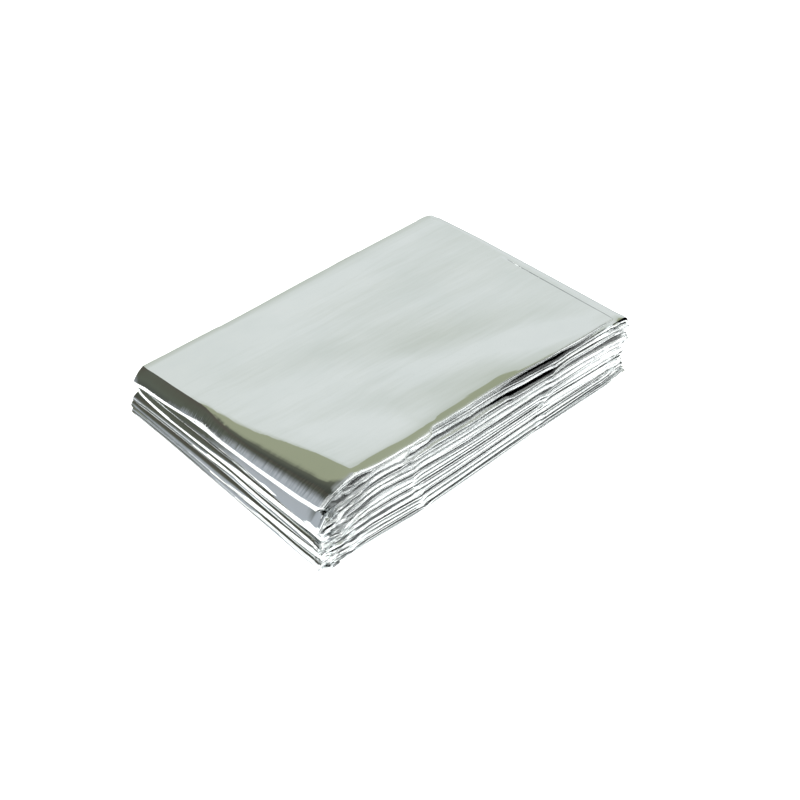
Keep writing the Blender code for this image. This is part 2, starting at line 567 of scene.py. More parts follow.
class Ragged:
    """Uneven lines from one seeded source."""

    def __init__(self, seed: int) -> None:
        """Start the source at a seed."""
        self.source = np.random.default_rng(seed)

    def line(self, run: Array, low: float, high: float, height: float) -> Array:
        """Return a line of random heights with knots at random spacings.

        Args:
            run: Places along the line.
            low: Least knot spacing.
            high: Largest knot spacing.
            height: Largest height either way.

        Returns:
            The line's height at each place.
        """
        span = run[-1] - run[0]
        count = int(span / low) + 3
        knots = run[0] + np.cumsum(self.source.uniform(low, high, count)) - high
        return np.interp(run, knots, self.source.uniform(-height, height, count))

    def blocks(self, run: Array, stops: Array, height: float) -> Array:
        """Return a line that holds a random height between stops and jumps at each of them."""
        values = self.source.uniform(-height, height, len(stops) + 1)
        return values[np.searchsorted(stops, run)]

    def patches(self, run: Array, low: float, high: float) -> Array:
        """Return strengths from 0 to 1 that jump at random spacings. Half of them are 0.

        Args:
            run: Places along the line.
            low: Least spacing.
            high: Largest spacing.

        Returns:
            The strength at each place.
        """
        span = run[-1] - run[0]
        stops = run[0] + np.cumsum(self.source.uniform(low, high, int(span / low) + 2))
        return np.maximum(self.blocks(run, stops, 1.0), 0)


@dataclass
class Strip:
    """The film pleated to a strip: its steps along the run, and its rows across the plies.

    The top panel has close steps after its left fold and before its free end. Rows lie at
    distances from the packet's middle, or at depths from a ply's own edge, all in millimetres.
    """

    shape: PacketShape
    run_steps: int = 100
    turn_steps: int = 7
    top_turn_steps: int = 16
    close_steps: int = 26
    close_share: float = 0.005
    end_shares: tuple[float, ...] = (0.9935, 0.997)
    front_zone: float = 11 * MM
    back_zone: float = 6 * MM
    mark: float = 7.2
    mark_side: float = 1.1
    behind_mark: tuple[float, ...] = (38, 31, 24, 18, 13)
    before_mark: tuple[float, ...] = (3, -2, -7, -12, -17, -22, -27, -32)
    top_back_depths: tuple[float, ...] = (0.0, 0.8, 2.5, 6.0)
    top_front_depths: tuple[float, ...] = (11.0, 7.5, 4.6, 3.4, 2.8, 2.2, 1.6, 1.0, 0.4)
    front_depths: tuple[float, ...] = (0.4, 1.4, 4.0)
    middle_shares: tuple[float, ...] = (0.3, 0.75)
    back_depths: tuple[float, ...] = (4.0, 0.6)
    loop_parts: tuple[int, ...] = (6, 4, 5, 4)
    crease_lean: float = 4 * MM
    far_crease_left: float = 0.015
    # A tenth of a micrometre more at each step, because read needs places that rise.
    step_rise: float = 1e-7

    def __post_init__(self) -> None:
        """Lay out the steps and the rows."""
        self.steps = self.section_steps()
        self.ranks = self.cross_ranks()
        self.run = self.run_lengths()
        self.panels = self.run / self.shape.length
        self.creases = self.crease_places()
        sizes = np.array([astuple(rank) for rank in self.ranks])
        self.ply, self.across, self.from_front, self.from_back, self.bulge = sizes.T
        self.front_line = np.array([rank.line(front=True) for rank in self.ranks])
        self.back_line = np.array([rank.line(front=False) for rank in self.ranks])

    def section_steps(self) -> list[Step]:
        """Return the steps along the strip, from the bottom panel's end to the top panel's.

        Returns:
            The steps in order, panel by fold by panel.
        """
        even = list(np.linspace(0.0, 1.0, self.run_steps))
        close = [step * self.close_share for step in range(1, self.close_steps + 1)]
        steps = []
        for index in range(len(PANELS)):
            shares = even if index < TOP_PANEL else sorted([*even, *close, *self.end_shares])
            steps += [Step(False, index, float(share)) for share in shares]
            if index < TOP_PANEL:
                lower = self.turn_steps
                upper = self.top_turn_steps if index == TOP_FOLD else self.turn_steps
                steps += [Step(True, index, -1 + step / lower) for step in range(1, lower)]
                steps += [Step(True, index, step / upper) for step in range(upper)]
        return steps

    def cross_ranks(self) -> list[Rank]:
        """Return the rows across the strip.

        Returns:
            The rows in order, from the outer ply's back edge to the inner ply's front edge.
        """
        outer = Ply.OUTER.value
        half = self.shape.width / 2 / MM
        low = self.front_zone / MM - half
        high = half - self.back_zone / MM
        mark = (self.mark + self.mark_side, self.mark, self.mark - self.mark_side)
        stops = (*self.behind_mark, *mark, *self.before_mark)
        ranks = self.back_rows(outer, self.top_back_depths)
        ranks += self.middle_rows(outer, [(stop - low) / (high - low) for stop in stops])
        ranks += self.front_rows(outer, self.top_front_depths)
        plies = [ply.value for ply in Ply]
        for number, (upper, lower) in enumerate(zip(plies, plies[1:])):
            front = number % 2 == 0
            ranks += self.loop_rows(upper, lower, front, self.loop_parts[number])
            rows = self.front_rows(lower, self.front_depths)
            rows += self.middle_rows(lower, self.middle_shares)
            rows += self.back_rows(lower, self.back_depths)
            ranks += rows if front else rows[::-1]
        ranks[-1] = Rank(Ply.INNER.value, 0.0)
        return ranks

    def front_rows(self, ply: float, depths: Sequence[float]) -> list[Rank]:
        """Return a ply's rows at millimetre depths from its front edge."""
        return [Rank(ply, 0.0, from_front=depth * MM) for depth in depths]

    def middle_rows(self, ply: float, shares: Sequence[float]) -> list[Rank]:
        """Return a ply's rows at shares of the way from its front zone to its back zone."""
        return [Rank(ply, share, self.front_zone, self.back_zone) for share in shares]

    def back_rows(self, ply: float, depths: Sequence[float]) -> list[Rank]:
        """Return a ply's rows at millimetre depths from its back edge."""
        return [Rank(ply, 1.0, from_back=depth * MM) for depth in depths]

    def loop_rows(self, upper: float, lower: float, front: bool, parts: int) -> list[Rank]:
        """Return the rows round a pleat's edge, from one ply to the next.

        Args:
            upper: The ply that it comes from.
            lower: The ply that it goes to.
            front: Whether the edge is a front one.
            parts: How many parts the turn is cut into.

        Returns:
            The rows between the two plies.
        """
        side = -1 if front else 1
        shares = [(1 - math.cos(math.pi * part / parts)) / 2 for part in range(1, parts)]
        across = 0.0 if front else 1.0
        return [Rank(lerp(upper, lower, share), across, bulge=side * share) for share in shares]

    def run_lengths(self) -> Array:
        """Return the length along the strip of each step. A whole fold lies at one length."""
        ends = [step.index + (1.0 if step.on_fold else step.share) for step in self.steps]
        return np.array(ends) * self.shape.length + np.arange(len(ends)) * self.step_rise

    def crease_shares(self, index: int) -> tuple[float, float]:
        """Return where the two old creases cross a panel, as shares of the length from the left."""
        lean = (2 * index / len(FOLDS) - 1) * self.crease_lean / self.shape.length
        return self.shape.near_crease - lean, self.shape.far_crease - self.far_crease_left + lean

    def crease_places(self) -> Array:
        """Return where the old creases cross the strip.

        Returns:
            Lengths along the strip, two for each panel.
        """
        places = []
        for index in range(len(PANELS)):
            near, far = self.crease_shares(index)
            pair = (near, far) if index % 2 else (1 - far, 1 - near)
            places += [(index + share) * self.shape.length for share in pair]
        return np.array(places)

    def along(self) -> Array:
        """Return each step's place along X, with every fold at its end of the packet."""
        turns = self.panels % 2
        return (np.where(turns < 1, 1 - turns, turns - 1) - 0.5) * self.shape.length


@dataclass
class TopPanel:
    """The top panel: its ridges, the brim along its front, and its roll down to the top fold.

    The roll's stages are how steep it is, in degrees, at the end of each of its three lengths. The
    brim starts at a crease, which takes most of the turn within its own width. Where the front
    edge is filled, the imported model's drop there is taken back.
    """

    shape: PacketShape
    brim_slope: float = 0.28
    crease_share: float = 0.7
    crease_width: float = 1.0 * MM
    roll_stages: tuple[float, ...] = (44.0, 61.0, 90.0)
    filled_edge: Reach = (8 * MM, 14 * MM)
    ridge_ends: float = 4.0
    # Half of a ridge's height is left at half its width from its middle: exp(-2.77 / 4) is 0.5.
    ridge_fall: float = -2.77

    def brim(self, x: Array, name: str) -> Array:
        """Return one of the brim's sizes, by its name, in metres at places along X."""
        return size_at(BRIMS, "x", name, x / MM) * MM

    def roll(self, y: Array, name: str) -> Array:
        """Return one of the roll's sizes, by its name, in metres at places along Y."""
        return size_at(ROLLS, "y", name, y / MM) * MM

    def brow_slope(self, y: Array) -> Array:
        """Return the slope at the brow in radians, at places along Y."""
        return np.radians(size_at(ROLLS, "y", "slope", y / MM))

    def crease_drop(self, past: Array, width: Array, slope: float | Array) -> Array:
        """Return how far film has dropped past a crease, from which it tips to a slope.

        Args:
            past: Distance past the crease, negative before it.
            width: Distance at which the slope is full.
            slope: The full slope. A share of it comes at the crease itself.

        Returns:
            The drop at each place.
        """
        past = np.maximum(past, 0)
        sharp = np.minimum(self.crease_width, width / 2)
        at_once = np.where(past < sharp, past * past / (2 * sharp), past - sharp / 2)
        return slope * lerp(past * past / (2 * width), at_once, self.crease_share)

    def roll_drop(self, x: Array, y: Array) -> Array:
        """Return how far the panel has rolled down towards its left fold at places on it."""
        brink = self.roll(y, "brink")
        return self.crease_drop(brink - x, brink - self.roll(y, "brow"), np.tan(self.brow_slope(y)))

    def relief(self, x: Array, y: Array) -> Array:
        """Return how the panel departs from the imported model's top skin.

        Args:
            x: Places along X.
            y: Places along Y.

        Returns:
            Heights above that skin.
        """
        shape = self.shape
        hang = self.brim(x, "hang")
        past_brim = hang + self.brim(x, "inset") - y - shape.width / 2
        brim_drop = self.crease_drop(past_brim, hang, self.brim_slope)
        loose = shape.height_front - shape.height_pressed
        lift = shape.edge_drop * loose * np.exp(-(y + shape.width / 2) / shape.edge_reach)
        height = lift * onset(x, self.filled_edge) - self.roll_drop(x, y) - brim_drop
        for ridge in RIDGES:
            height += self.ridge_height(ridge, x, y)
        return height

    def ridge_height(self, ridge: Ridge, x: Array, y: Array) -> Array:
        """Return one ridge's height.

        Args:
            ridge: The ridge.
            x: Places along X.
            y: Places along Y.

        Returns:
            Its height at each place, which fades towards both of its ends.
        """
        way = np.array([ridge.x1 - ridge.x0, ridge.y1 - ridge.y0]) * MM
        span = np.linalg.norm(way)
        unit = way / span
        dx = x - ridge.x0 * MM
        dy = y - ridge.y0 * MM
        place = (dx * unit[0] + dy * unit[1]) / span
        side = (dy * unit[0] - dx * unit[1]) / (ridge.width * MM)
        ends = smooth(place * self.ridge_ends) * smooth((1 - place) * self.ridge_ends)
        return ridge.height * MM * ends * np.exp(self.ridge_fall * side * side)

    def stages(self, steep: float | Array, y: Array) -> tuple[Array, Array]:
        """Return how far the top fold has come where it is so steep.

        Args:
            steep: How steep it is, in radians.
            y: Places along Y.

        Returns:
            How far out from the brow it is, and how far down.
        """
        out = np.zeros_like(y)
        down = np.zeros_like(y)
        turns = [self.brow_slope(y)] + [np.full_like(y, math.radians(stage)) for stage in self.roll_stages]
        for low, high, name in zip(turns, turns[1:], ("first", "second", "third")):
            reached = np.clip(steep, low, high)
            bend = self.roll(y, name) / (high - low)
            out += bend * (np.sin(reached) - np.sin(low))
            down += bend * (np.cos(low) - np.cos(reached))
        return out, down

    def lower_brow(self, y: Array) -> Array:
        """Return where the panel under this one meets the top fold.

        Args:
            y: Places along Y.

        Returns:
            Places along X.
        """
        out, _ = self.stages(math.pi / 2, y)
        brow = self.roll(y, "brow")
        return brow - out + self.shape.lower_depth + self.shape.sheet_thickness(brow, y)


@dataclass
class PleatEdges:
    """How far the pleats' three front and three back edges lie inside the packet's sides.

    The lower half of the packet is neat, and the top panels follow the brim: both tables go by
    panels along the strip. Under the top panel the inner back edges are tucked in, and the front
    end of the top fold is tucked in at its turn.
    """

    strip: Strip
    top: TopPanel
    ragged: Ragged
    front_extras: tuple[float, ...] = (0.0, 0.3 * MM, 0.9 * MM)
    back_extras: tuple[float, ...] = (0.5 * MM, 0.1 * MM, 0.0)
    wander: Uneven = (25 * MM, 60 * MM, 0.4 * MM)
    shiver: Uneven = (4 * MM, 12 * MM, 0.04 * MM)
    crease_jump: float = 0.45 * MM
    looseness: Table = ((0, 0.4), (5, 0.5), (8, 1.0))
    brim_shares: Table = (
        (0, 0), (9, 0), (9.2, 0.3), (9.8, 0.3), (10, 0.15), (10.15, 0.65), (10.85, 0.65), (11, 1), (12, 1))
    brim_extra: float = 0.4
    tucked_back: float = 0.7 * MM
    back_start: float = 3 * MM
    tuck_depth: float = 3.0 * MM
    tuck_reach: float = 8 * MM
    tuck_turn: Reach = (-0.95, 1.2)

    def __post_init__(self) -> None:
        """Lay the front edges, and then the back edges."""
        self.front = np.array([self.front_edge(extra) for extra in self.front_extras])
        outer, *inner = [self.edge(extra, False) for extra in self.back_extras]
        top = self.strip.run >= TOP_PANEL * self.strip.shape.length - self.back_start
        self.back = np.array([outer] + [np.where(top, outer + self.tucked_back, edge) for edge in inner])

    def edge(self, extra: float, front: bool) -> Array:
        """Return how far one edge lies inside the packet's side.

        Args:
            extra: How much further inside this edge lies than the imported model's.
            front: Whether it is a front edge.

        Returns:
            The inset at each step, uneven and never below 0.
        """
        strip = self.strip
        line = self.ragged.line(strip.run, *self.wander)
        line += self.ragged.line(strip.run, *self.shiver)
        line += self.ragged.blocks(strip.run, strip.creases, self.crease_jump)
        loose = read(self.looseness, strip.panels)
        return np.maximum(self.packed_inset(front) + loose * (extra + line), 0.0)

    def front_edge(self, extra: float) -> Array:
        """Return a front edge, drawn in to the brim and tucked in at the top fold.

        Args:
            extra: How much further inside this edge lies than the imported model's.

        Returns:
            The inset at each step.
        """
        edge = self.edge(extra, True)
        brim = self.top.brim(self.strip.along(), "inset") - self.brim_extra * extra
        edge += read(self.brim_shares, self.strip.panels) * (brim - edge)
        return edge + self.tuck_depth * self.tuck()

    def packed_inset(self, front: bool) -> Array:
        """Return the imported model's own inset of the front or back edge.

        Args:
            front: Whether it is the front edge.

        Returns:
            The inset at each step.
        """
        strip = self.strip
        stops = []
        for index, panel in enumerate(PANELS):
            near, far = (panel.front_near_crease, panel.front_far_crease)
            if not front:
                near, far = (panel.back_near_crease, panel.back_far_crease)
            pair = (near, far) if index % 2 else (far, near)
            stops += zip(strip.creases[2 * index:2 * index + 2], pair)
            if index < TOP_PANEL:
                fold = FOLDS[index]
                stops.append(((index + 1) * strip.shape.length, fold.near if front else fold.far))
        return read(stops, strip.run) * MM

    def tuck(self) -> Array:
        """Return how far the top fold's front end is tucked in.

        Returns:
            The share at each step.
        """
        strip = self.strip
        before = np.exp(-np.square((strip.run - TOP_PANEL * strip.shape.length) / self.tuck_reach))
        turns = np.array([
            step.share if step.on_fold and step.index == TOP_FOLD else 1.0 for step in strip.steps])
        under = np.array([step.index == UNDER_PANEL and not step.on_fold for step in strip.steps])
        return np.where(under, before, onset(-turns, self.tuck_turn))


@dataclass
class EdgeStack:
    """The heights of all plies along one long edge, with uneven spaces between them.

    shares are the places of a panel's plies in the height that they fill, which is at most its
    thickness times fullest. strength is how uneven the spaces are. sway is the share of the drift
    that is taken back again, where the drift is averaged over some rows either way.
    """

    strip: Strip
    ragged: Ragged
    y: float
    shares: tuple[float, ...]
    strength: float
    columns: int = 220
    last_margin: float = 0.001
    fullest: float = 1.75
    wander: Uneven = (25 * MM, 70 * MM, 0.35)
    crease_jump: float = 0.45
    sway: float = 0.75
    sway_rows: int = 4

    def __post_init__(self) -> None:
        """Lay the heights, from the bottom ply to the top one."""
        half = self.strip.shape.length / 2
        self.x = np.linspace(-half, half, self.columns)
        levels = self.even_levels()
        spaces = np.diff(levels, axis=0)
        spaces = spaces * self.unevenness(len(spaces))
        total = levels[-1] - levels[0]
        spaces *= total / spaces.sum(axis=0)
        heights = np.concatenate([levels[0][None], levels[0] + np.cumsum(spaces, axis=0)])
        heights -= self.sway * self.neighbours(heights - levels)
        heights[0], heights[-1] = levels[0], levels[-1]
        self.heights = heights

    def even_levels(self) -> Array:
        """Return the heights of the plies before they are made uneven.

        Returns:
            One row for each ply, bottom to top.
        """
        shape = self.strip.shape
        lower = shape.lower_skins(self.x, np.full_like(self.x, self.y))
        thickness = shape.sheet_thickness(self.x, self.y)
        top = lower[-1] + thickness
        pitches = np.diff(np.concatenate([lower, top[None]]), axis=0)
        flipped = [1 - share for share in self.shares[::-1]]
        levels = []
        for panel, (skin, pitch) in enumerate(zip(lower, pitches)):
            filled = np.minimum(pitch, self.fullest * thickness)
            levels += [skin + share * filled for share in (self.shares if panel % 2 else flipped)]
        levels[0] = np.zeros_like(top)
        levels[-1] = top
        return np.array(levels)

    def unevenness(self, count: int) -> Array:
        """Return the factors by which the spaces between plies are widened.

        Args:
            count: The number of spaces.

        Returns:
            One row of factors for each space, bottom to top.
        """
        factors = np.empty((count, self.columns))
        for row in range(count):
            stops = (np.array(self.strip.crease_shares(row // PLIES)) - 0.5) * self.strip.shape.length
            line = self.ragged.line(self.x, *self.wander)
            line += self.ragged.blocks(self.x, stops, self.crease_jump)
            factors[row] = np.exp(line * self.strength)
        return factors

    def neighbours(self, rows: Array) -> Array:
        """Return each row's average with the rows above and below it.

        Args:
            rows: The rows, bottom to top.

        Returns:
            As many averaged rows.
        """
        reach = self.sway_rows
        padded = np.pad(rows, ((reach, reach), (0, 0)), mode="edge")
        return np.array([padded[row:row + 2 * reach + 1].mean(axis=0) for row in range(len(rows))])

    def height(self, x: Array, place: Array) -> Array:
        """Return heights on the edge.

        Args:
            x: Places along X.
            place: Places through the stack, counted in plies from the bottom.

        Returns:
            The heights there.
        """
        last = len(self.x) - 1
        row = np.minimum(np.floor(place + ROUNDING).astype(int), len(self.heights) - 2)
        # The last column is never quite reached, so that every place has a column to its right.
        column = np.clip((x / self.strip.shape.length + 0.5) * last, 0, last - self.last_margin)
        left = np.floor(column).astype(int)
        near = lerp(self.heights[row, left], self.heights[row, left + 1], column - left)
        far = lerp(self.heights[row + 1, left], self.heights[row + 1, left + 1], column - left)
        return lerp(near, far, place - row)


@dataclass
class FrontStack(EdgeStack):
    """The front edge's heights, with long pointed openings, a fanned right end and gaps.

    A shard is one long pointed opening. Its place, its half length and how much it widens are
    drawn from ranges, the first two in millimetres. The fan and the pinch go by millimetres along
    X, and the pinch is the share that is left of the spaces in the top panel.
    """

    shards: int = 12
    shard_rows: float = 0.7
    shard_bias: float = 1.5
    shard_places: tuple[float, float] = (-62, 62)
    shard_halves: tuple[float, float] = (5, 15)
    shard_widening: tuple[float, float] = (0.5, 1.5)
    fan_panels: tuple[int, ...] = (4, 5, 6, 7)
    fan_reach: Reach = (33, 14)
    fan_wide: float = 1.0
    fan_narrow: float = -0.4
    pinch: Table = ((6, 1.0), (15, 0.5), (30, 0.35), (36, 0.35), (43, 1.0))
    pressed_rows: int = 15

    def __post_init__(self) -> None:
        """Lay the heights, and then open the gaps in them."""
        super().__post_init__()
        self.open_gaps()

    def unevenness(self, count: int) -> Array:
        """Return the factors by which the spaces between plies are widened.

        Args:
            count: The number of spaces.

        Returns:
            One row of factors for each space, bottom to top.
        """
        factors = super().unevenness(count)
        for _ in range(self.shards):
            self.open_shard(factors)
        for panel in self.fan_panels:
            self.open_fan(factors, panel)
        return factors

    def open_shard(self, factors: Array) -> None:
        """Widen one space to a long pointed opening, more often in the upper half.

        Args:
            factors: The factors of all spaces, which are changed.
        """
        source = self.ragged.source
        row = int(len(factors) * (1 - self.shard_rows * source.uniform() ** self.shard_bias)) - 2
        centre = source.uniform(*self.shard_places) * MM
        half = source.uniform(*self.shard_halves) * MM
        tip = np.maximum(1 - np.abs(self.x - centre) / half, 0)
        widening = source.uniform(*self.shard_widening) * tip
        factors[row] *= 1 + widening
        factors[row - 1] /= 1 + widening / 2
        factors[row + 1] /= 1 + widening / 2

    def open_fan(self, factors: Array, panel: int) -> None:
        """Widen the loops of a panel's pleats to the right of the far crease, and narrow the rest.

        Args:
            factors: The factors of all spaces, which are changed.
            panel: The panel, from the bottom.
        """
        beyond = onset(self.x / MM, self.fan_reach)
        for row in range(PLIES - 1):
            widening = self.fan_wide if (row + panel) % 2 == 0 else self.fan_narrow
            factors[panel * PLIES + row] *= 1 + beyond * widening

    def open_gaps(self) -> None:
        """Pinch the top panel's plies together, and press the plies under each gap down."""
        heights = self.heights
        pinch = read(self.pinch, self.x / MM)
        top = TOP_PANEL * PLIES
        heights[top:] = heights[-1] - (heights[-1] - heights[top:]) * pinch
        for gap in GAPS:
            row = gap.panel * PLIES
            pressed = smooth((np.arange(row) - row + self.pressed_rows + 1) / self.pressed_rows)
            heights[:row] -= pressed[:, None] * read(gap.openings, self.x / MM) * MM


@dataclass
class PleatLoops:
    """The pleats' round edges: how far each stands out, and how high its outermost line lies.

    The first of the two sizes is for the wide loops, at the outer ply's front edge and at the
    middle back edge. A loop is flatter than a half circle, most of all in the lower panels.
    """

    strip: Strip
    ragged: Ragged
    sizes: tuple[float, float] = (0.75 * MM, 0.35 * MM)
    size_wander: Uneven = (10 * MM, 40 * MM, 0.3)
    size_jump: float = 0.2
    size_shares: Table = ((0, 0.4), (5, 0.45), (7, 0.8), (10.9, 0.8), (11, 0.25), (12, 0.25))
    peak: float = 0.5
    peak_wander: Uneven = (15 * MM, 45 * MM, 0.15)
    peak_jump: float = 0.17
    flatness: tuple[float, float] = (0.45, 0.8)
    flat_panels: Reach = (4, 5)

    def __post_init__(self) -> None:
        """Lay the sizes and the peaks."""
        run = self.strip.run
        creases = self.strip.creases
        ragged = self.ragged
        shares = read(self.size_shares, self.strip.panels)
        self.bulges = []
        self.peaks = []
        for size in self.sizes:
            line = ragged.line(run, *self.size_wander) + ragged.blocks(run, creases, self.size_jump)
            self.bulges.append(size * (1 + line) * shares)
            line = ragged.line(run, *self.peak_wander) + ragged.blocks(run, creases, self.peak_jump)
            self.peaks.append(self.peak + line)

    def stand_out(self, number: int) -> Array:
        """Return how far along Y the loops stand out at one step.

        Args:
            number: The step, counted along the strip.

        Returns:
            The offset of each row.
        """
        strip = self.strip
        panel = strip.steps[number].index
        from_top = np.abs(strip.bulge)
        if panel % 2 == 0:
            from_top = 1 - from_top
        wide = (strip.front_line == 0) & (strip.bulge < 0) | (strip.back_line == 1) & (strip.bulge > 0)
        peak = np.where(wide, self.peaks[0][number], self.peaks[1][number])
        size = np.where(wide, self.bulges[0][number], self.bulges[1][number])
        turned = np.sin(math.pi * np.power(from_top, math.log(0.5) / np.log(peak)))
        turned = np.power(np.abs(turned), lerp(*self.flatness, onset(panel, self.flat_panels)))
        return np.sign(strip.bulge) * size * turned


@dataclass
class Crumple:
    """The small creases of the rows near the long edges, strongest at the front left corner.

    The rows at each of the six edge lines share their patches and their ribbons. Ripples lie in
    the patches of the upper panels, and facets at the corners and round the old creases.
    """

    strip: Strip
    ragged: Ragged
    lines: int = 6
    patch_lengths: tuple[float, float] = (4 * MM, 22 * MM)
    ripple_lengths: tuple[float, float] = (2 * MM, 7 * MM)
    ripple_height: float = 0.12 * MM
    ripple_depth: float = 2 * MM
    ripple_back: float = 0.5
    ripple_panels: Reach = (5, 3)
    ribbon_lengths: tuple[float, float] = (2.2 * MM, 5 * MM)
    facet_lengths: tuple[float, float] = (1.2 * MM, 4 * MM)
    facet_share: float = 0.7
    facet_height: float = 0.8 * MM
    facet_depth: float = 4 * MM
    facet_back: float = 0.3
    axis_shares: tuple[float, ...] = (0.5, 1.0, 0.7)
    left_reach: float = 13 * MM
    right_reach: float = 8 * MM
    right_share: float = 0.6
    kink_reach: float = 2 * MM
    kink_share: float = 0.45
    top_front: float = 0.1
    top_inner: float = 0.3
    upper_back: float = 0.15

    def __post_init__(self) -> None:
        """Lay the patches, the ribbons and then the creases of each row."""
        strip = self.strip
        ragged = self.ragged
        lines = range(self.lines)
        self.patches = np.array([ragged.patches(strip.run, *self.patch_lengths) for _ in lines])
        self.ribbons = [
            [ragged.line(strip.run, *self.ribbon_lengths, share) for share in self.axis_shares]
            for _ in lines
        ]
        self.strength = self.facet_strength()
        self.offsets = np.zeros((len(strip.steps), len(strip.ranks), 3))
        for row, rank in enumerate(strip.ranks):
            if rank.across in (0.0, 1.0):
                self.lay_row(row, rank)

    def facet_strength(self) -> Array:
        """Return how strong the facets are.

        Returns:
            The strength at each step.
        """
        strip = self.strip
        length = strip.shape.length
        from_left = np.abs((strip.run % (2 * length)) - length)
        left = np.exp(-np.square(from_left / self.left_reach))
        right = self.right_share * np.exp(-np.square((length - from_left) / self.right_reach))
        from_crease = np.abs(strip.run[:, None] - strip.creases[None]).min(axis=1)
        kink = self.kink_share * np.exp(-np.square(from_crease / self.kink_reach))
        return left + np.where(strip.run < TOP_PANEL * length, right, 0) + kink

    def lay_row(self, row: int, rank: Rank) -> None:
        """Lay the creases of one row near a long edge.

        Args:
            row: The row's number.
            rank: The row itself.
        """
        run = self.strip.run
        front = rank.across == 0
        depth = rank.from_front if front else rank.from_back
        line = rank.line(front) if front else self.lines // 2 + rank.line(front)
        offsets = self.offsets[:, row]
        loose = self.patches[line] * onset(self.strip.panels, self.ripple_panels)
        height = self.ripple_height * math.exp(-depth / self.ripple_depth)
        height *= 1.0 if front else self.ripple_back
        for axis in (1, 2):
            offsets[:, axis] = loose * self.ragged.line(run, *self.ripple_lengths, height)
        height = self.facet_height * math.exp(-depth / self.facet_depth)
        height *= 1.0 if front else self.facet_back
        for axis, share in enumerate(self.axis_shares):
            facets = self.ragged.line(run, *self.facet_lengths, self.facet_share * share)
            offsets[:, axis] += self.strength * height * (self.ribbons[line][axis] + facets)
        on_top = self.top_inner
        if rank.ply == Ply.OUTER.value:
            on_top = self.top_front if front else 0.0
        offsets[run > TOP_PANEL * self.strip.shape.length] *= on_top
        if not front:
            offsets[run > UNDER_PANEL * self.strip.shape.length] *= self.upper_back


@dataclass
class FoldDents:
    """The dents along the tips of the left folds: how deep they are, and how high they lie."""

    shape: PacketShape
    ragged: Ragged
    stops: int = 60
    depth: float = 0.22
    depth_wander: Uneven = (20 * MM, 50 * MM, 0.2)
    seat_wander: Uneven = (15 * MM, 40 * MM, 0.8)
    turn_reach: float = 0.22

    def __post_init__(self) -> None:
        """Lay the depths of all folds, and then their seats."""
        self.y = np.linspace(-self.shape.width / 2, self.shape.width / 2, self.stops)
        self.depths = [self.depth + self.ragged.line(self.y, *self.depth_wander) for _ in FOLDS]
        self.seats = [self.ragged.line(self.y, *self.seat_wander) for _ in FOLDS]

    def depth_at(self, step: Step, y: Array) -> Array:
        """Return the share of its reach by which a fold's outer ply is dented in at a step."""
        fall = math.exp(-((step.share / self.turn_reach) ** 2))
        return np.interp(y, self.y, self.depths[step.index]) * fall

    def seat_at(self, step: Step, y: Array) -> Array:
        """Return how much higher a fold's tip lies, in spaces between its panels."""
        return np.interp(y, self.y, self.seats[step.index])


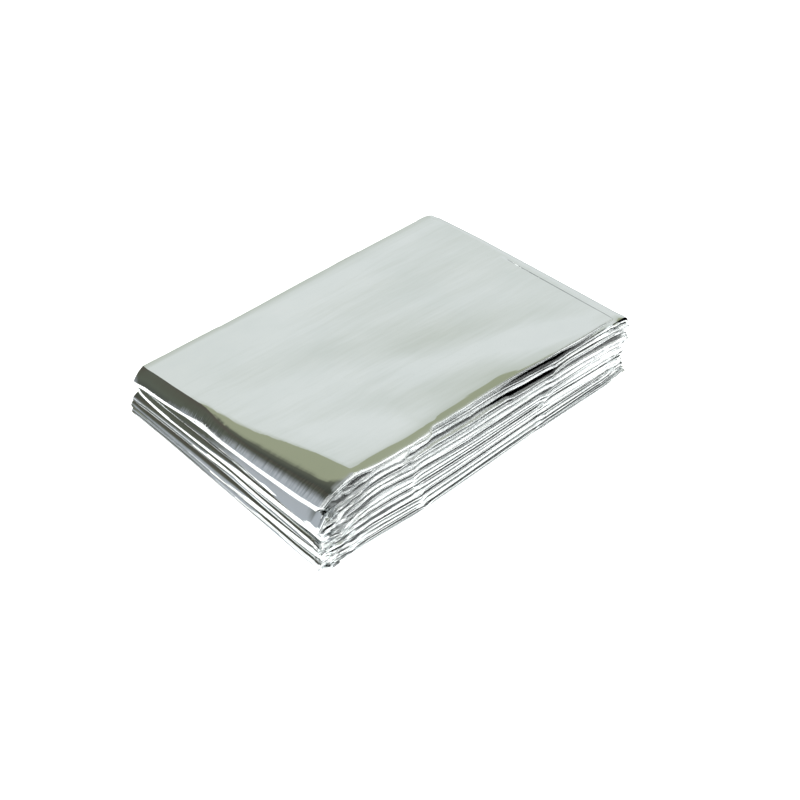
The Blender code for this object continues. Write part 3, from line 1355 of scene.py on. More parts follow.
@dataclass
class PlyHeights:
    """The heights of the plies in every panel's straight run.

    The free end of the top panel is thin and, behind its loose part, lies flat on the panel
    under it. That panel is hollow at its back left corner. The lower panels are squeezed together
    towards the left. Reaches are in millimetres, and the squeezes go by shares from back to front.
    """

    shape: PacketShape
    top: TopPanel
    stacks: tuple[EdgeStack, EdgeStack]
    edge_fade: float = 8 * MM
    end_reach: float = 22 * MM
    end_thin: float = 0.2
    end_gap: float = 0.2 * MM
    flat_end: Reach = (6.8, 1.6)
    flat_thin: float = 0.12
    slack: float = 0.4 * MM
    slack_depth: Reach = (2, 1)
    slack_back: float = 2.5 * MM
    slack_end: float = 3 * MM
    slack_flat: float = 0.35
    hollow: float = 0.7 * MM
    hollow_back: Reach = (36, 8)
    hollow_left: Reach = (50, 12)
    squeeze_starts: tuple[float, float] = (42, 15)
    squeeze_reaches: tuple[float, float] = (23, 45)
    squeezes: Table = (
        (0.0, 0.075), (0.38, 0.07), (0.55, 0.085), (0.70, 0.145), (0.85, 0.185), (1.0, 0.19))

    def height(self, x: Array, y: Array, panel: int, through: Array, depths: tuple[Array, Array]) -> Array:
        """Return heights on the plies of one panel.

        Args:
            x: Places along X.
            y: Places along Y.
            panel: The panel, from the bottom.
            through: Place through the panel, 0 at its lower skin and 1 at its upper one.
            depths: Distance of each place from its own front and back edge.

        Returns:
            The heights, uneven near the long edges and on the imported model's skins elsewhere.
        """
        height = self.shape.lower_skins(x, y)[panel] + through * self.shape.sheet_thickness(x, y)
        place = PLIES * panel + (PLIES - 1) * through
        for stack, depth in zip(self.stacks, depths):
            height = lerp(stack.height(x, place), height, smooth(depth / self.edge_fade))
        if panel == TOP_PANEL:
            return height + self.on_top(x, y, through, depths)
        if panel == UNDER_PANEL:
            height = height + self.under_top(x, y, through)
        return height * self.squeeze(x, y)

    def past_end(self, x: Array, y: Array) -> Array:
        """Return how far places lie past the top panel's free end, negative before it."""
        short = lerp(*self.shape.last_panel_short, self.shape.back_share(y))
        return x - (self.shape.length / 2 - short)

    def on_top(self, x: Array, y: Array, through: Array, depths: tuple[Array, Array]) -> Array:
        """Return how the top panel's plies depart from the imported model's.

        Args:
            x: Places along X.
            y: Places along Y.
            through: Place through the panel, 0 at its lower skin and 1 at its upper one.
            depths: Distance of each place from its own front and back edge.

        Returns:
            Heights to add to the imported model's.
        """
        past = self.past_end(x, y)
        flat = onset(y / MM, self.flat_end)
        thin = lerp(self.end_thin, self.flat_thin, flat)
        thinner = (1 - thin) * self.shape.sheet_thickness(x, y) * smooth(past / self.end_reach + 1)
        inside = onset(np.minimum(depths[0], depths[1] + self.slack_back) / MM, self.slack_depth)
        inside = inside * np.maximum(smooth(-past / self.slack_end), self.slack_flat * flat)
        slack = self.slack * inside * (1 - through > ROUNDING)
        return (1 - through) * thinner + self.top.relief(x, y) - slack

    def under_top(self, x: Array, y: Array, through: Array) -> Array:
        """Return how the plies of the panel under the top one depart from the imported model's.

        Args:
            x: Places along X.
            y: Places along Y.
            through: Place through the panel, 0 at its lower skin and 1 at its upper one.

        Returns:
            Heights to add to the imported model's.
        """
        thickness = self.shape.sheet_thickness(x, y)
        skins = self.shape.lower_skins(x, y)
        space = skins[TOP_PANEL] - skins[UNDER_PANEL] - thickness
        filled = space + (1 - self.end_thin) * thickness - self.end_gap
        hollow = self.hollow * onset(y / MM, self.hollow_back) * onset(-x / MM, self.hollow_left)
        return through * smooth(self.past_end(x, y) / self.end_reach + 1) * filled - hollow

    def squeeze(self, x: Array, y: Array) -> Array:
        """Return the factor by which the lower panels' heights are squeezed.

        Args:
            x: Places along X.
            y: Places along Y.

        Returns:
            The factor at each place.
        """
        back = self.shape.back_share(y)
        left = onset(-x / MM, (lerp(*self.squeeze_starts, back), lerp(*self.squeeze_reaches, back)))
        return 1 - left * read(self.squeezes, 1 - back)


@dataclass
class FoldTurns:
    """How the plies go round every fold, and where the panels' straight runs start and end.

    Round the top fold the plies are evenly spaced. The higher brow_hold is, the closer to the brow
    they reach their own heights on the top panel.
    """

    strip: Strip
    top: TopPanel
    plies: PlyHeights
    dents: FoldDents
    turn_width: float = 0.4
    back_draw: int = 4
    brow_hold: int = 3

    def __post_init__(self) -> None:
        """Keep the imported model's sizes at hand."""
        self.shape = self.strip.shape

    def tip_share(self, index: int, share: Array) -> Array:
        """Return a share from front to back, eased so a left fold draws back only at its very end.

        Args:
            index: The fold, from the bottom.
            share: Shares of the way from front to back.

        Returns:
            The eased shares.
        """
        if index % 2:
            return share
        behind = np.maximum(share - 0.5, 0) * 2
        return np.where(share < 0.5, share, 0.5 + 0.5 * behind ** self.back_draw)

    def slope(self, index: int, share: Array, name: str) -> Array:
        """Return one of a lower left fold's sizes, by its name, at shares of the way back."""
        sizes = SLOPES[index // 2]
        return lerp(*getattr(sizes, name), smooth((share - sizes.turn) / self.turn_width + 0.5))

    def run_start(self, index: int, y: Array) -> Array:
        """Return where a panel's straight run starts.

        Args:
            index: The panel, from the bottom.
            y: Places along Y.

        Returns:
            Places along X.
        """
        shape = self.shape
        share = shape.back_share(y)
        if index == 0:
            return shape.length / 2 - lerp(*shape.first_panel_short, share)
        if index == TOP_PANEL:
            return self.top.roll(y, "brow")
        start = shape.shoulder(index - 1, True, self.tip_share(index - 1, share), y)
        if index % 2:
            start = start + self.slope(index - 1, share, "longer") * MM
        return start

    def run_end(self, index: int, y: Array) -> Array:
        """Return where a panel's straight run ends.

        Args:
            index: The panel, from the bottom.
            y: Places along Y.

        Returns:
            Places along X.
        """
        shape = self.shape
        share = shape.back_share(y)
        if index == TOP_PANEL:
            return shape.length / 2 - lerp(*shape.last_panel_short, share)
        if index == UNDER_PANEL:
            return self.top.lower_brow(y)
        return shape.shoulder(index, False, self.tip_share(index, share), y)

    def top_turn(self, step: Step, y: Array, depths: tuple[Array, Array]) -> tuple[Array, Array]:
        """Return the plies' places at one step round the top left fold.

        Args:
            step: The step.
            y: Places along Y.
            depths: Distance of each place from its own front and back edge.

        Returns:
            Places along X and heights.
        """
        top = self.top
        ply = self.strip.ply
        brow = top.roll(y, "brow")
        brow_height = self.plies.height(brow, y, TOP_PANEL, np.ones_like(y), depths)
        steep = lerp(math.radians(top.roll_stages[-1]), top.brow_slope(y), max(step.share, 0.0))
        out, down = top.stages(steep, y)
        inside = (1 - ply) * self.shape.sheet_thickness(brow, y)
        if step.share >= 0:
            held = step.share ** self.brow_hold
            own = self.plies.height(brow, y, TOP_PANEL, ply, depths) - brow_height
            x = brow - out + np.sin(steep) * inside * (1 - held)
            return x, brow_height - down + lerp(-np.cos(steep) * inside, own, held)
        start = top.lower_brow(y)
        begin = self.plies.height(start, y, UNDER_PANEL, 1 - ply, depths)
        angle = -step.share * math.pi / 2
        x = start + (brow - out + inside - start) * math.cos(angle)
        return x, brow_height - down + (begin - brow_height + down) * math.sin(angle)

    def turn(self, step: Step, y: Array, depths: tuple[Array, Array]) -> tuple[Array, Array]:
        """Return the plies' places at one step round a fold.

        Args:
            step: The step.
            y: Places along Y.
            depths: Distance of each place from its own front and back edge.

        Returns:
            Places along X and heights.
        """
        index = step.index
        if index == TOP_FOLD:
            return self.top_turn(step, y, depths)
        shape = self.shape
        ply = self.strip.ply
        share = shape.back_share(y)
        eased = self.tip_share(index, share)
        side = shape.fold_side(index)
        tip = shape.fold_tip(index, eased)
        thickness = shape.sheet_thickness(tip, y)
        upper = step.share > 0
        panel = index + 1 if upper else index
        start = self.run_start(panel, y) if upper else self.run_end(panel, y)
        outer = ply if side < 0 else 1 - ply
        begin = self.plies.height(start, y, panel, ply if panel % 2 else 1 - ply, depths)
        below = self.plies.height(start, y, index, np.ones_like(y), depths)
        above = self.plies.height(start, y, index + 1, np.zeros_like(y), depths)
        level = lerp(below, above, FOLDS[index].level)
        reach = np.abs(tip - start) - (1 - outer) * thickness
        out = math.cos(step.share * math.pi / 2)
        rise = abs(math.sin(step.share * math.pi / 2))
        if side < 0:
            reach = reach * (1 - outer * self.dents.depth_at(step, y))
            level = level + self.dents.seat_at(step, y) * (above - below)
            level = level - self.slope(index, share, "drop") * thickness
            corner = self.slope(index, share, "corner")
            out = np.power(out, corner)
            rise = np.power(rise, corner)
        return start + side * reach * out, level + (begin - level) * rise


@dataclass
class FilmMarks:
    """What the finish reads at each point: its place on the flat film, its creasing and its
    painted shade between the plies.

    Creasing is strongest at the edges of the upper panels, in patches, and on the front of the top
    fold, which is brushed; it sets the creases' bumps and the painted shade of their streaks. The
    painted shade between the plies runs from 0 in the open to 1 far between them. It starts at
    millimetres from a panel's ends, and its shades go by panels along the strip. Above the last
    but three they are darker still, and go by millimetres along X too.
    """

    strip: Strip
    crumple: Crumple
    worn_depth: float = 5 * MM
    worn_shares: tuple[float, float] = (0.03, 0.55)
    worn_heights: Reach = (0.45, 0.35)
    brushed: float = 0.42
    brushed_across: Reach = (-0.85, 0.4)
    brushed_from: Reach = (0.3, 0.2)
    brushed_until: Reach = (-0.9, 0.2)
    # The painted shade between the plies: how deep it starts, its loops, and how it clears the panels'
    # ends.
    dark_depth: float = 1.2 * MM
    dark_loops: float = 0.4
    dark_left: Reach = (3, 3)
    dark_right: Reach = (0, 1.5)
    dark_right_under: Reach = (14, 1.5)
    free_end: Reach = (-6, 3)
    free_end_dark: float = 0.1
    shades: Table = ((0, 0.12), (5, 0.15), (7, 0.28), (8.9, 0.4), (9.1, 2.0))
    upper_panels: float = 9
    upper_shades: Table = ((0, 0.25), (10, 1.0))

    def across_film(self) -> Array:
        """Return where each row lies across the flat film.

        Returns:
            Distances from the film's edge.
        """
        strip = self.strip
        width = strip.shape.width
        plies = (Ply.OUTER.value - strip.ply) * (PLIES - 1)
        middle = strip.front_zone + strip.across * (width - strip.front_zone - strip.back_zone)
        depths = np.where(strip.across == 1, width - strip.from_back, middle)
        depths = np.where(strip.across == 0, strip.from_front, depths)
        return plies * width - np.where(strip.front_line * 2 == plies, 1, -1) * depths

    def creasing_and_streak_shade(self) -> Array:
        """Return how creased the film is, which also sets the painted shade of its crease streaks.

        Returns:
            Shares, a row for each step.
        """
        strip = self.strip
        depth = np.where(strip.across == 0, strip.from_front, strip.shape.width / 2)
        line = np.where(strip.across == 0, strip.front_line, self.crumple.lines // 2 + strip.back_line)
        upper = lerp(*self.worn_shares, onset(strip.run / strip.run[-1], self.worn_heights))
        crease_and_streak_shade = np.exp(-depth / self.worn_depth)[None, :] * upper[:, None] * self.crumple.patches[line].T
        top_face = (strip.run[:, None] > TOP_PANEL * strip.shape.length) & (strip.ply == Ply.OUTER.value)
        crease_and_streak_shade[top_face] = 0.0
        front = self.brushed * onset(-strip.across, self.brushed_across)
        for number, step in enumerate(strip.steps):
            if step.on_fold and step.index == TOP_FOLD:
                turned = onset(step.share, self.brushed_from) * onset(-step.share, self.brushed_until)
                crease_and_streak_shade[number] = front * turned
        return crease_and_streak_shade

    def places(self) -> Array:
        """Return each point's place along and across the flat film, with its creasing, which also sets its
        painted streak shade.

        Returns:
            Three numbers for each row of each step.
        """
        crease_and_streak_shade = self.creasing_and_streak_shade()
        run, across = np.meshgrid(self.strip.run, self.across_film(), indexing="ij")
        return np.stack([run, across, crease_and_streak_shade], axis=2)

    def painted_gap_shade(self) -> Array:
        """Return the painted shade at each point, by how deep it lies between the plies.

        Returns:
            Shades from 0 to 1, a row for each step.
        """
        strip = self.strip
        depth = np.where(strip.across == 1, strip.from_back, 1.0)
        depth = np.where(strip.across == 0, strip.from_front, depth)
        loops = self.dark_loops * (1 - np.sin(math.pi * np.abs(strip.bulge)))
        rows = np.where(strip.bulge == 0, smooth(depth / self.dark_depth), loops)
        painted_gap_shade = np.zeros((len(strip.steps), len(strip.ranks)))
        for number, step in enumerate(strip.steps):
            if step.on_fold:
                continue
            left = step.share if step.index % 2 else 1 - step.share
            from_left, from_right = np.array((left, 1 - left)) * strip.shape.length / MM
            clear = self.dark_right_under if step.index == UNDER_PANEL else self.dark_right
            painted_gap_shade[number] = rows * onset(from_left, self.dark_left) * onset(from_right, clear)
            if step.index == TOP_PANEL:
                ending = onset(-from_right, self.free_end)
                painted_gap_shade[number] = lerp(painted_gap_shade[number], self.free_end_dark, ending)
                painted_gap_shade[number][strip.ply == Ply.OUTER.value] = 0.0
        shades = read(self.shades, strip.panels)
        upper = shades * read(self.upper_shades, strip.along() / MM)
        shades = np.where(strip.panels > self.upper_panels, upper, shades)
        return np.minimum(painted_gap_shade * shades[:, None], 1.0)


@dataclass
class FilmSheet:
    """The sheet of film, pleated across and folded back and forth along the packet."""

    shape: PacketShape
    seed: int = 7
    front_shares: tuple[float, ...] = (0.07, 0.13, 0.33, 0.42, 0.93)
    back_shares: tuple[float, ...] = (0.05, 0.36, 0.44, 0.86, 0.94)
    front_strength: float = 1.0
    back_strength: float = 0.6
    corner_round: float = 8 * MM
    end_dip: float = 0.5
    end_dip_length: float = 0.8 * MM
    curl: float = 2.4 * MM
    curl_panels: int = 6
    curl_right: Reach = (56 * MM, 12 * MM)
    curl_front: Reach = (34 * MM, 14 * MM)
    clearance: float = 0.02 * MM
    sharp_angle: float = 20.0

    def __post_init__(self) -> None:
        """Lay out the strip and every uneven line. They share one source, so their order counts."""
        ragged = Ragged(self.seed)
        half = self.shape.width / 2
        self.strip = Strip(self.shape)
        top = TopPanel(self.shape)
        self.edges = PleatEdges(self.strip, top, ragged)
        front = FrontStack(self.strip, ragged, -half, self.front_shares, self.front_strength)
        back = EdgeStack(self.strip, ragged, half, self.back_shares, self.back_strength)
        self.loops = PleatLoops(self.strip, ragged)
        self.crumple = Crumple(self.strip, ragged)
        dents = FoldDents(self.shape, ragged)
        self.plies = PlyHeights(self.shape, top, (front, back))
        self.turns = FoldTurns(self.strip, top, self.plies, dents)

    def place_rows(self, number: int) -> Array:
        """Return the points of all rows at one step along the strip.

        Args:
            number: The step, counted along the strip.

        Returns:
            The points, one for each row.
        """
        strip = self.strip
        step = strip.steps[number]
        half = self.shape.width / 2
        front = -half + self.edges.front[strip.front_line, number]
        back = half - self.edges.back[strip.back_line, number]
        y = lerp(front + strip.from_front, back - strip.from_back, strip.across)
        depths = (y - front, back - y)
        y = y + self.loops.stand_out(number)
        if step.on_fold:
            x, z = self.turns.turn(step, y, depths)
        else:
            x, z = self.straight(step, y, depths)
        if step.index < self.curl_panels:
            near = onset(x, self.curl_right) * onset(-y, self.curl_front)
            z = z + self.curl * near * (1 - (step.index + max(step.share, 0)) / self.curl_panels)
        points = self.round_corner(np.stack([x, y, z], axis=1)) + self.crumple.offsets[number]
        points[:, 2] = np.maximum(points[:, 2], self.clearance)
        return points

    def straight(self, step: Step, y: Array, depths: tuple[Array, Array]) -> tuple[Array, Array]:
        """Return the plies' places at one step of a panel's straight run.

        Args:
            step: The step.
            y: Places along Y.
            depths: Distance of each place from its own front and back edge.

        Returns:
            Places along X and heights. The top panel's loose end dips a little.
        """
        end = self.turns.run_end(step.index, y)
        x = lerp(self.turns.run_start(step.index, y), end, step.share)
        through = self.strip.ply if step.index % 2 else 1 - self.strip.ply
        z = self.plies.height(x, y, step.index, through, depths)
        if step.index == TOP_PANEL:
            dip = lerp(self.end_dip, 0.0, onset(y / MM, self.plies.flat_end))
            z = z - dip * np.maximum(x - end + self.end_dip_length, 0)
        return x, z

    def round_corner(self, points: Array) -> Array:
        """Return points with the packet's back right corner drawn in to a round one.

        Args:
            points: The points, which are changed.

        Returns:
            The same points.
        """
        corner = np.array([self.shape.length, self.shape.width]) / 2
        past = np.maximum(points[:, :2] - corner + self.corner_round, 0)
        kept = past.max(axis=1) / np.maximum(np.hypot(past[:, 0], past[:, 1]), 1e-9)
        points[:, :2] -= past * (1 - kept[:, None]) * (kept[:, None] > 0)
        return points

    def build(self) -> bpy.types.Object:
        """Build the film as one mesh: a flat grid whose points are laid in the folds.

        Returns:
            The film's object, at the origin.
        """
        steps = len(self.strip.steps)
        rows = len(self.strip.ranks)
        bm = bmesh.new()
        bmesh.ops.create_grid(bm, x_segments=steps - 1, y_segments=rows - 1, size=1)
        sheet = link_mesh("film_sheet", bm)
        mesh = sheet.data
        flat = np.empty(3 * len(mesh.vertices))
        mesh.vertices.foreach_get("co", flat)
        flat = (flat.reshape(-1, 3) + 1) / 2
        step = np.rint(flat[:, 0] * (steps - 1)).astype(int)
        row = np.rint(flat[:, 1] * (rows - 1)).astype(int)
        points = np.array([self.place_rows(number) for number in range(steps)])
        mesh.vertices.foreach_set("co", points[step, row].ravel())
        marks = FilmMarks(self.strip, self.crumple)
        place = mesh.attributes.new(PLACE_ATTRIBUTE, "FLOAT_VECTOR", "POINT")
        place.data.foreach_set("vector", marks.places()[step, row].ravel())
        # The painted shade between the plies, for the finish to read.
        painted_gap_shade = mesh.attributes.new(PAINTED_SHADE_ATTRIBUTE, "FLOAT", "POINT")
        painted_gap_shade.data.foreach_set("value", marks.painted_gap_shade()[step, row])
        mesh.update()
        mesh.shade_smooth()
        mesh.set_sharp_from_angle(angle=math.radians(self.sharp_angle))
        return sheet


@dataclass(frozen=True)
class MetallisedFilm:
    """Vacuum-metallised polyester: 12 micrometre film with an aluminium coat.

    The coat is a near mirror, so the film shows its surroundings, a little greyed and blurred.
    Handling leaves fine creases along the pleated edges, which break the reflections to streaks,
    and along which the coat is painted greyer, as painted shade. Between the plies the coat has
    painted shade: it is darkened, to nearly black in the widest gap, and turned half matt so that
    it shows grey, as light bounced back from between the plies would.
    """

    bright: str = "#eef0f0"
    dull: str = "#e9ecec"
    # Painted shade between the plies, nearly black.
    between: str = "#131416"
    # Painted shade along the crease streaks.
    streak_shade: str = "#c8cbcd"
    mirror: str = "#ffffff"
    # Painted bounce light: between the plies the film is turned half matt, so its painted shade shows grey.
    painted_bounce_metallic: str = "#cccccc"
    painted_bounce_depths: tuple[float, float] = (0.12, 0.45)
    mirror_depth: float = 0.8
    roughness: float = 0.035
    roughness_shares: tuple[float, float] = (0.7, 1.5)
    haze_size: float = 22 * MM
    haze_detail: float = 3.0
    haze_grain: float = 0.6
    haze_range: tuple[float, float] = (0.3, 0.7)
    # Real creases are down to a hair's width. They are drawn this coarse so that they show.
    crease_length: float = 7 * MM
    crease_width: float = 0.6 * MM
    crease_depth: float = 0.16 * MM
    crease_detail: float = 2.5
    crease_range: tuple[float, float] = (0.45, 0.65)
    draw_length: float = 30 * MM
    draw_width: float = 5 * MM
    draw_depth: float = 0.05 * MM
    draw_detail: float = 2.0

    def material(self) -> bpy.types.Material:
        """Return the film's material.

        Returns:
            The material, which reads Object coordinates and the film's own attributes.
        """
        material = bpy.data.materials.new("metallised_polyester_film")
        material.use_nodes = True
        tree = material.node_tree
        shader = tree.nodes["Principled BSDF"]
        painted_gap_shade = add_node(tree, "ShaderNodeAttribute", attribute_name=PAINTED_SHADE_ATTRIBUTE).outputs["Fac"]
        on_film = add_node(tree, "ShaderNodeAttribute", attribute_name=PLACE_ATTRIBUTE).outputs["Vector"]
        crease_and_streak_shade = add_node(tree, "ShaderNodeSeparateXYZ", {"Vector": on_film}).outputs["Z"]

        place = add_node(tree, "ShaderNodeTexCoord").outputs["Object"]
        haze = add_node(tree, "ShaderNodeTexNoise", {
            "Vector": place, "Scale": 1 / self.haze_size, "Detail": self.haze_detail,
            "Roughness": self.haze_grain})
        low, high = self.haze_range
        smoother, rougher = (self.roughness * share for share in self.roughness_shares)
        rough = add_node(tree, "ShaderNodeMapRange", {
            "Value": haze.outputs["Fac"], "From Min": low, "From Max": high,
            "To Min": smoother, "To Max": rougher})
        tree.links.new(rough.outputs["Result"], shader.inputs["Roughness"])

        tint = add_node(tree, "ShaderNodeValToRGB", {"Fac": haze.outputs["Fac"]})
        silver = ramp(tint, ((low, self.dull), (high, self.bright)))
        # Painted shade: the coat darkens towards the between colour where a point lies deep between the
        # plies.
        coat = add_node(tree, "ShaderNodeMixRGB", {0: painted_gap_shade, 1: silver, 2: linear(self.between)})
        crease = self.stretched_noise(
            tree, on_film, self.crease_length, self.crease_width, self.crease_detail)
        low, high = self.crease_range
        streak = add_node(tree, "ShaderNodeMapRange", {
            "Value": crease, "From Min": low, "From Max": high, "To Min": 0.0, "To Max": crease_and_streak_shade})
        # Painted shade: the coat is greyed in streaks along the creases, as far as they are creased.
        shaded_streaks = add_node(tree, "ShaderNodeMixRGB", {
            0: streak.outputs["Result"], 1: coat.outputs["Color"], 2: linear(self.streak_shade)},
            blend_type="MULTIPLY")
        tree.links.new(shaded_streaks.outputs["Color"], shader.inputs["Base Color"])

        # Painted bounce light: the film turns half matt with the painted shade between the plies, so that
        # it shows grey.
        start, end = self.painted_bounce_depths
        bounced = add_node(tree, "ShaderNodeValToRGB", {"Fac": painted_gap_shade})
        metallic = ramp(bounced, (
            (0.0, self.mirror), (start, self.painted_bounce_metallic), (end, self.painted_bounce_metallic),
            (self.mirror_depth, self.mirror)))
        tree.links.new(metallic, shader.inputs["Metallic"])

        draw = self.stretched_noise(
            tree, on_film, self.draw_length, self.draw_width, self.draw_detail)
        soft = add_node(tree, "ShaderNodeBump", {
            "Strength": 1.0, "Distance": self.draw_depth, "Height": draw})
        bump = add_node(tree, "ShaderNodeBump", {
            "Strength": crease_and_streak_shade, "Distance": self.crease_depth, "Height": crease,
            "Normal": soft.outputs["Normal"]})
        tree.links.new(bump.outputs["Normal"], shader.inputs["Normal"])
        return material

    def stretched_noise(
            self, tree: bpy.types.NodeTree, on_film: bpy.types.NodeSocket, length: float, width: float,
            detail: float) -> bpy.types.NodeSocket:
        """Add noise that is stretched along the film's run.

        Args:
            tree: The node tree.
            on_film: The place on the flat film.
            length: Size of the noise along the run.
            width: Size of the noise across it.
            detail: The noise's detail.

        Returns:
            The noise's output.
        """
        scaled = add_node(tree, "ShaderNodeMapping", {
            "Vector": on_film, "Scale": (1 / length, 1 / width, 0.0)})
        noise = add_node(tree, "ShaderNodeTexNoise", {
            "Vector": scaled.outputs["Vector"], "Scale": 1.0, "Detail": detail}, noise_dimensions="2D")
        return noise.outputs["Fac"]


@dataclass(frozen=True)
class Belt:
    """A band of the room's walls: its colours round the room, and where it takes over by height.

    Heights are the upward part of the direction, 0 at the horizon and 1 overhead. Stops run from
    -X by -Y, +X and +Y back to -X.
    """

    low: float
    high: float
    stops: tuple[tuple[float, str], ...]


# Bottom to top.
ROOM = (
    Belt(0.0, 0.0, (
        (0.00, "#a0a5a8"), (0.03, "#9a9fa2"), (0.06, "#4a4d50"), (0.20, "#484b4e"), (0.25, "#63676b"),
        (0.33, "#7a8189"), (0.42, "#9ea5ab"), (0.50, "#8a9090"), (0.66, "#7d8383"), (0.745, "#8f9596"),
        (0.80, "#545852"), (0.868, "#545852"), (0.889, "#b8bec5"), (1.00, "#b8bec5"))),
    Belt(0.04, 0.22, (
        (0.00, "#b4b9bb"), (0.03, "#a4a9ab"), (0.06, "#4a4d50"), (0.20, "#484b4e"), (0.25, "#6e7377"),
        (0.33, "#adb4ba"), (0.42, "#d0d6da"), (0.50, "#e2e7e6"), (0.66, "#e0e5e4"), (0.745, "#e4e9e8"),
        (0.79, "#5e6358"), (0.868, "#5e6358"), (0.889, "#b6bbc1"), (1.00, "#bdc3c9"))),
    Belt(0.24, 0.44, (
        (0.00, "#55594f"), (0.06, "#797d80"), (0.20, "#777b7e"), (0.25, "#8f9497"), (0.33, "#e0e4e8"),
        (0.42, "#eef2f3"), (0.50, "#e4e9e8"), (0.66, "#e6ebe9"), (0.70, "#dfe4e0"), (0.72, "#a1a68c"),
        (0.757, "#9ca187"), (0.775, "#5f6359"), (0.85, "#5b5d52"), (1.00, "#4a4d48"))),
    Belt(0.46, 0.60, (
        (0.00, "#4b4f45"), (0.06, "#797d80"), (0.20, "#777b7e"), (0.25, "#8f9497"), (0.33, "#dadfe3"),
        (0.42, "#dfe4e3"), (0.50, "#ccd2ca"), (0.66, "#cdd3cb"), (0.695, "#c8cdc2"), (0.71, "#a4a98f"),
        (0.757, "#a1a68c"), (0.775, "#5c5850"), (1.00, "#4b4a42"))),
    Belt(0.622, 0.634, (
        (0.00, "#3f423b"), (0.30, "#74786a"), (0.42, "#b9bfae"), (0.55, "#a5ab92"), (0.752, "#a3a88e"),
        (0.762, "#5f6256"), (0.82, "#50534b"), (1.00, "#3f423b"))),
    Belt(0.82, 0.93, (
        (0.00, "#8d9190"), (0.25, "#a9adac"), (0.50, "#c4c8c6"), (0.75, "#aeb2b0"), (1.00, "#8d9190"))),
)


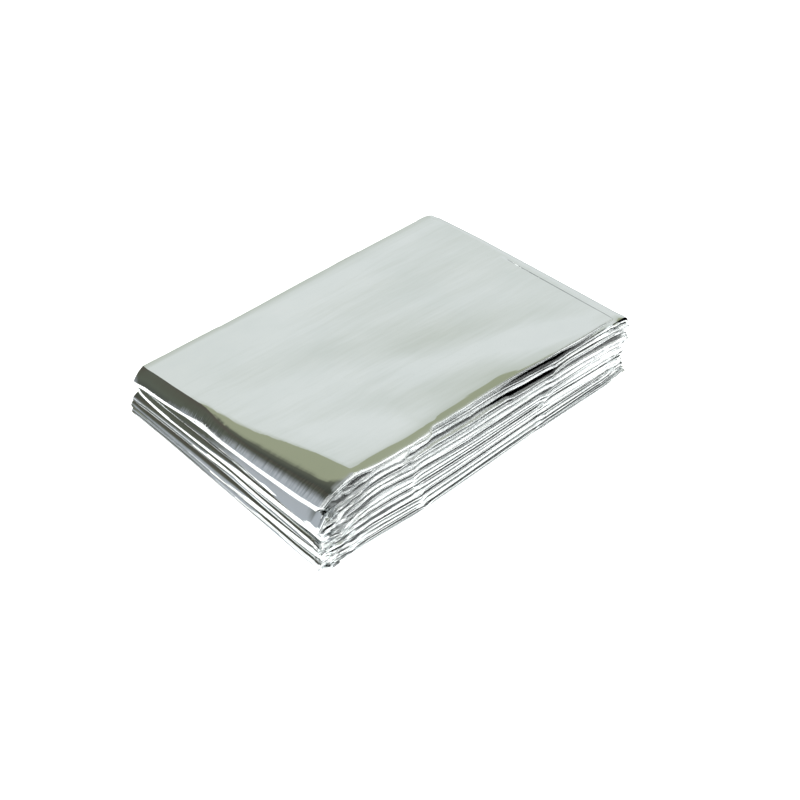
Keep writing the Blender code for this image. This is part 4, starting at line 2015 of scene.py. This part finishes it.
@dataclass(frozen=True)
class Studio:
    """The pale table, the soft light round it, and the camera. Its angles are in degrees."""

    azimuth: float = -42.2
    elevation: float = 41.5
    distance: float = 0.483
    focal_pixels: float = 1500.0
    frame_pixels: float = 800.0
    sensor_width: float = 36.0
    near_clip: float = 10 * MM
    target: tuple[float, float, float] = (-6.4 * MM, -14.3 * MM, 10 * MM)
    floor_half: float = 3.0
    floor_colour: str = "#fafafa"
    floor_roughness: float = 0.9
    floor_glow: float = 0.8
    sun_energy: float = 1.0
    sun_width: float = 70.0
    sun_tilt: tuple[float, float] = (12.0, 18.0)
    softbox: tuple[float, float, float] = (0.50, -0.66, 0.72)
    # Cosines of the angles from its middle at which the softbox starts and is full.
    softbox_edge: tuple[float, float] = (0.91, 0.945)
    softbox_glow: float = 2.2

    def add_camera(self) -> None:
        """Add the camera, looking down on the front corner."""
        turn = math.radians(self.azimuth)
        lift = math.radians(self.elevation)
        back = Vector((math.sin(turn) * math.cos(lift), -math.cos(turn) * math.cos(lift), math.sin(lift)))
        right = Vector((math.cos(turn), math.sin(turn), 0))
        up = back.cross(right)
        data = bpy.data.cameras.new("camera")
        data.sensor_width = self.sensor_width
        data.lens = self.focal_pixels * self.sensor_width / self.frame_pixels
        data.clip_start = self.near_clip
        camera = bpy.data.objects.new("camera", data)
        bpy.context.scene.collection.objects.link(camera)
        axes = Matrix((right, up, back)).transposed().to_4x4()
        axes.translation = Vector(self.target) + back * self.distance
        camera.matrix_world = axes
        bpy.context.scene.camera = camera

    def add_floor(self) -> None:
        """Add the table top that the packet lies on. It glows a little, so that it stays white."""
        bm = bmesh.new()
        bmesh.ops.create_grid(bm, x_segments=1, y_segments=1, size=self.floor_half)
        floor = link_mesh("floor", bm)
        material = bpy.data.materials.new("white_paper_sweep")
        material.use_nodes = True
        shader = material.node_tree.nodes["Principled BSDF"]
        shader.inputs["Base Color"].default_value = linear(self.floor_colour)
        shader.inputs["Roughness"].default_value = self.floor_roughness
        shader.inputs["Specular IOR Level"].default_value = 0.0
        shader.inputs["Emission Color"].default_value = linear("#ffffff")
        shader.inputs["Emission Strength"].default_value = self.floor_glow
        floor.data.materials.append(material)

    def add_key(self) -> None:
        """Add the wide overhead light that whitens the table. It isn't seen in the film."""
        data = bpy.data.lights.new("overhead", "SUN")
        data.energy = self.sun_energy
        data.angle = math.radians(self.sun_width)
        light = bpy.data.objects.new("overhead", data)
        light.rotation_euler = (*map(math.radians, self.sun_tilt), 0)
        light.visible_glossy = False
        bpy.context.scene.collection.objects.link(light)

    def room_colour(self, tree: bpy.types.NodeTree, way: bpy.types.NodeSocket) -> bpy.types.NodeSocket:
        """Add the room's belts, each over the one below it.

        Args:
            tree: The world's node tree.
            way: The direction that is looked in.

        Returns:
            The room's colour in that direction.
        """
        axes = add_node(tree, "ShaderNodeSeparateXYZ", {"Vector": way})
        turn = add_node(tree, "ShaderNodeMath", {
            0: axes.outputs["Y"], 1: axes.outputs["X"]}, operation="ARCTAN2")
        round_room = add_node(tree, "ShaderNodeMapRange", {
            "Value": turn.outputs["Value"], "From Min": -math.pi, "From Max": math.pi})
        colours = []
        for band in ROOM:
            belt = add_node(tree, "ShaderNodeValToRGB", {"Fac": round_room.outputs["Result"]})
            colours.append(ramp(belt, band.stops))
        colour = colours[0]
        for band, above in zip(ROOM[1:], colours[1:]):
            height = add_node(tree, "ShaderNodeMapRange", {
                "Value": axes.outputs["Z"], "From Min": band.low, "From Max": band.high})
            # Factor and colour sockets share names on the Mix node, so they are set by number.
            mix = add_node(tree, "ShaderNodeMix", {
                0: height.outputs["Result"], 6: colour, 7: above}, data_type="RGBA")
            colour = mix.outputs[2]
        return colour

    def add_world(self) -> None:
        """Add the room that the film reflects: pale walls, dark room, olive ceiling, softbox.

        The camera itself sees plain white in its place.
        """
        world = bpy.data.worlds.new("studio")
        bpy.context.scene.world = world
        world.use_nodes = True
        tree = world.node_tree
        tree.nodes.clear()
        way = add_node(tree, "ShaderNodeTexCoord").outputs["Generated"]
        colour = self.room_colour(tree, way)
        near_box = add_node(tree, "ShaderNodeVectorMath", {
            0: way, 1: Vector(self.softbox).normalized()}, operation="DOT_PRODUCT")
        start, full = self.softbox_edge
        box = add_node(tree, "ShaderNodeMapRange", {
            "Value": near_box.outputs["Value"], "From Min": start, "From Max": full,
            "To Max": self.softbox_glow})
        glow = add_node(tree, "ShaderNodeMixRGB", {
            0: 1.0, 1: colour, 2: box.outputs["Result"]}, blend_type="ADD")
        lit = add_node(tree, "ShaderNodeBackground", {"Color": glow.outputs["Color"], "Strength": 1.0})
        plain = add_node(tree, "ShaderNodeBackground", {"Color": linear("#ffffff"), "Strength": 1.0})
        seen = add_node(tree, "ShaderNodeLightPath").outputs["Is Camera Ray"]
        either = add_node(tree, "ShaderNodeMixShader", {
            0: seen, 1: lit.outputs["Background"], 2: plain.outputs["Background"]})
        add_node(tree, "ShaderNodeOutputWorld", {"Surface": either.outputs["Shader"]})

    def build(self) -> None:
        """Build the studio and set the plain view transform."""
        self.add_camera()
        self.add_floor()
        self.add_key()
        self.add_world()
        bpy.context.scene.view_settings.view_transform = "Standard"


@dataclass
class FoilBlanket:
    """The folded blanket: one sheet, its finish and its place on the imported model."""

    shape: PacketShape
    finish: MetallisedFilm

    def build(self) -> bpy.types.Object:
        """Returns:
            The sheet's object.
        """
        sheet = FilmSheet(self.shape).build()
        sheet.data.materials.append(self.finish.material())
        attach(sheet, "root")
        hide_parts("foil_blanket")
        return sheet


def main() -> None:
    """Load the frame, build the studio and the blanket, and report them."""
    logging.basicConfig(level=logging.INFO, format="%(name)s: %(message)s")
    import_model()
    studio = Studio()
    studio.build()
    LOG.info("studio: camera %.0f mm away", studio.distance / MM)
    sheet = FoilBlanket(PacketShape(), MetallisedFilm()).build()
    LOG.info("%s: %d faces", sheet.name, len(sheet.data.polygons))


if __name__ == "__main__":
    main()
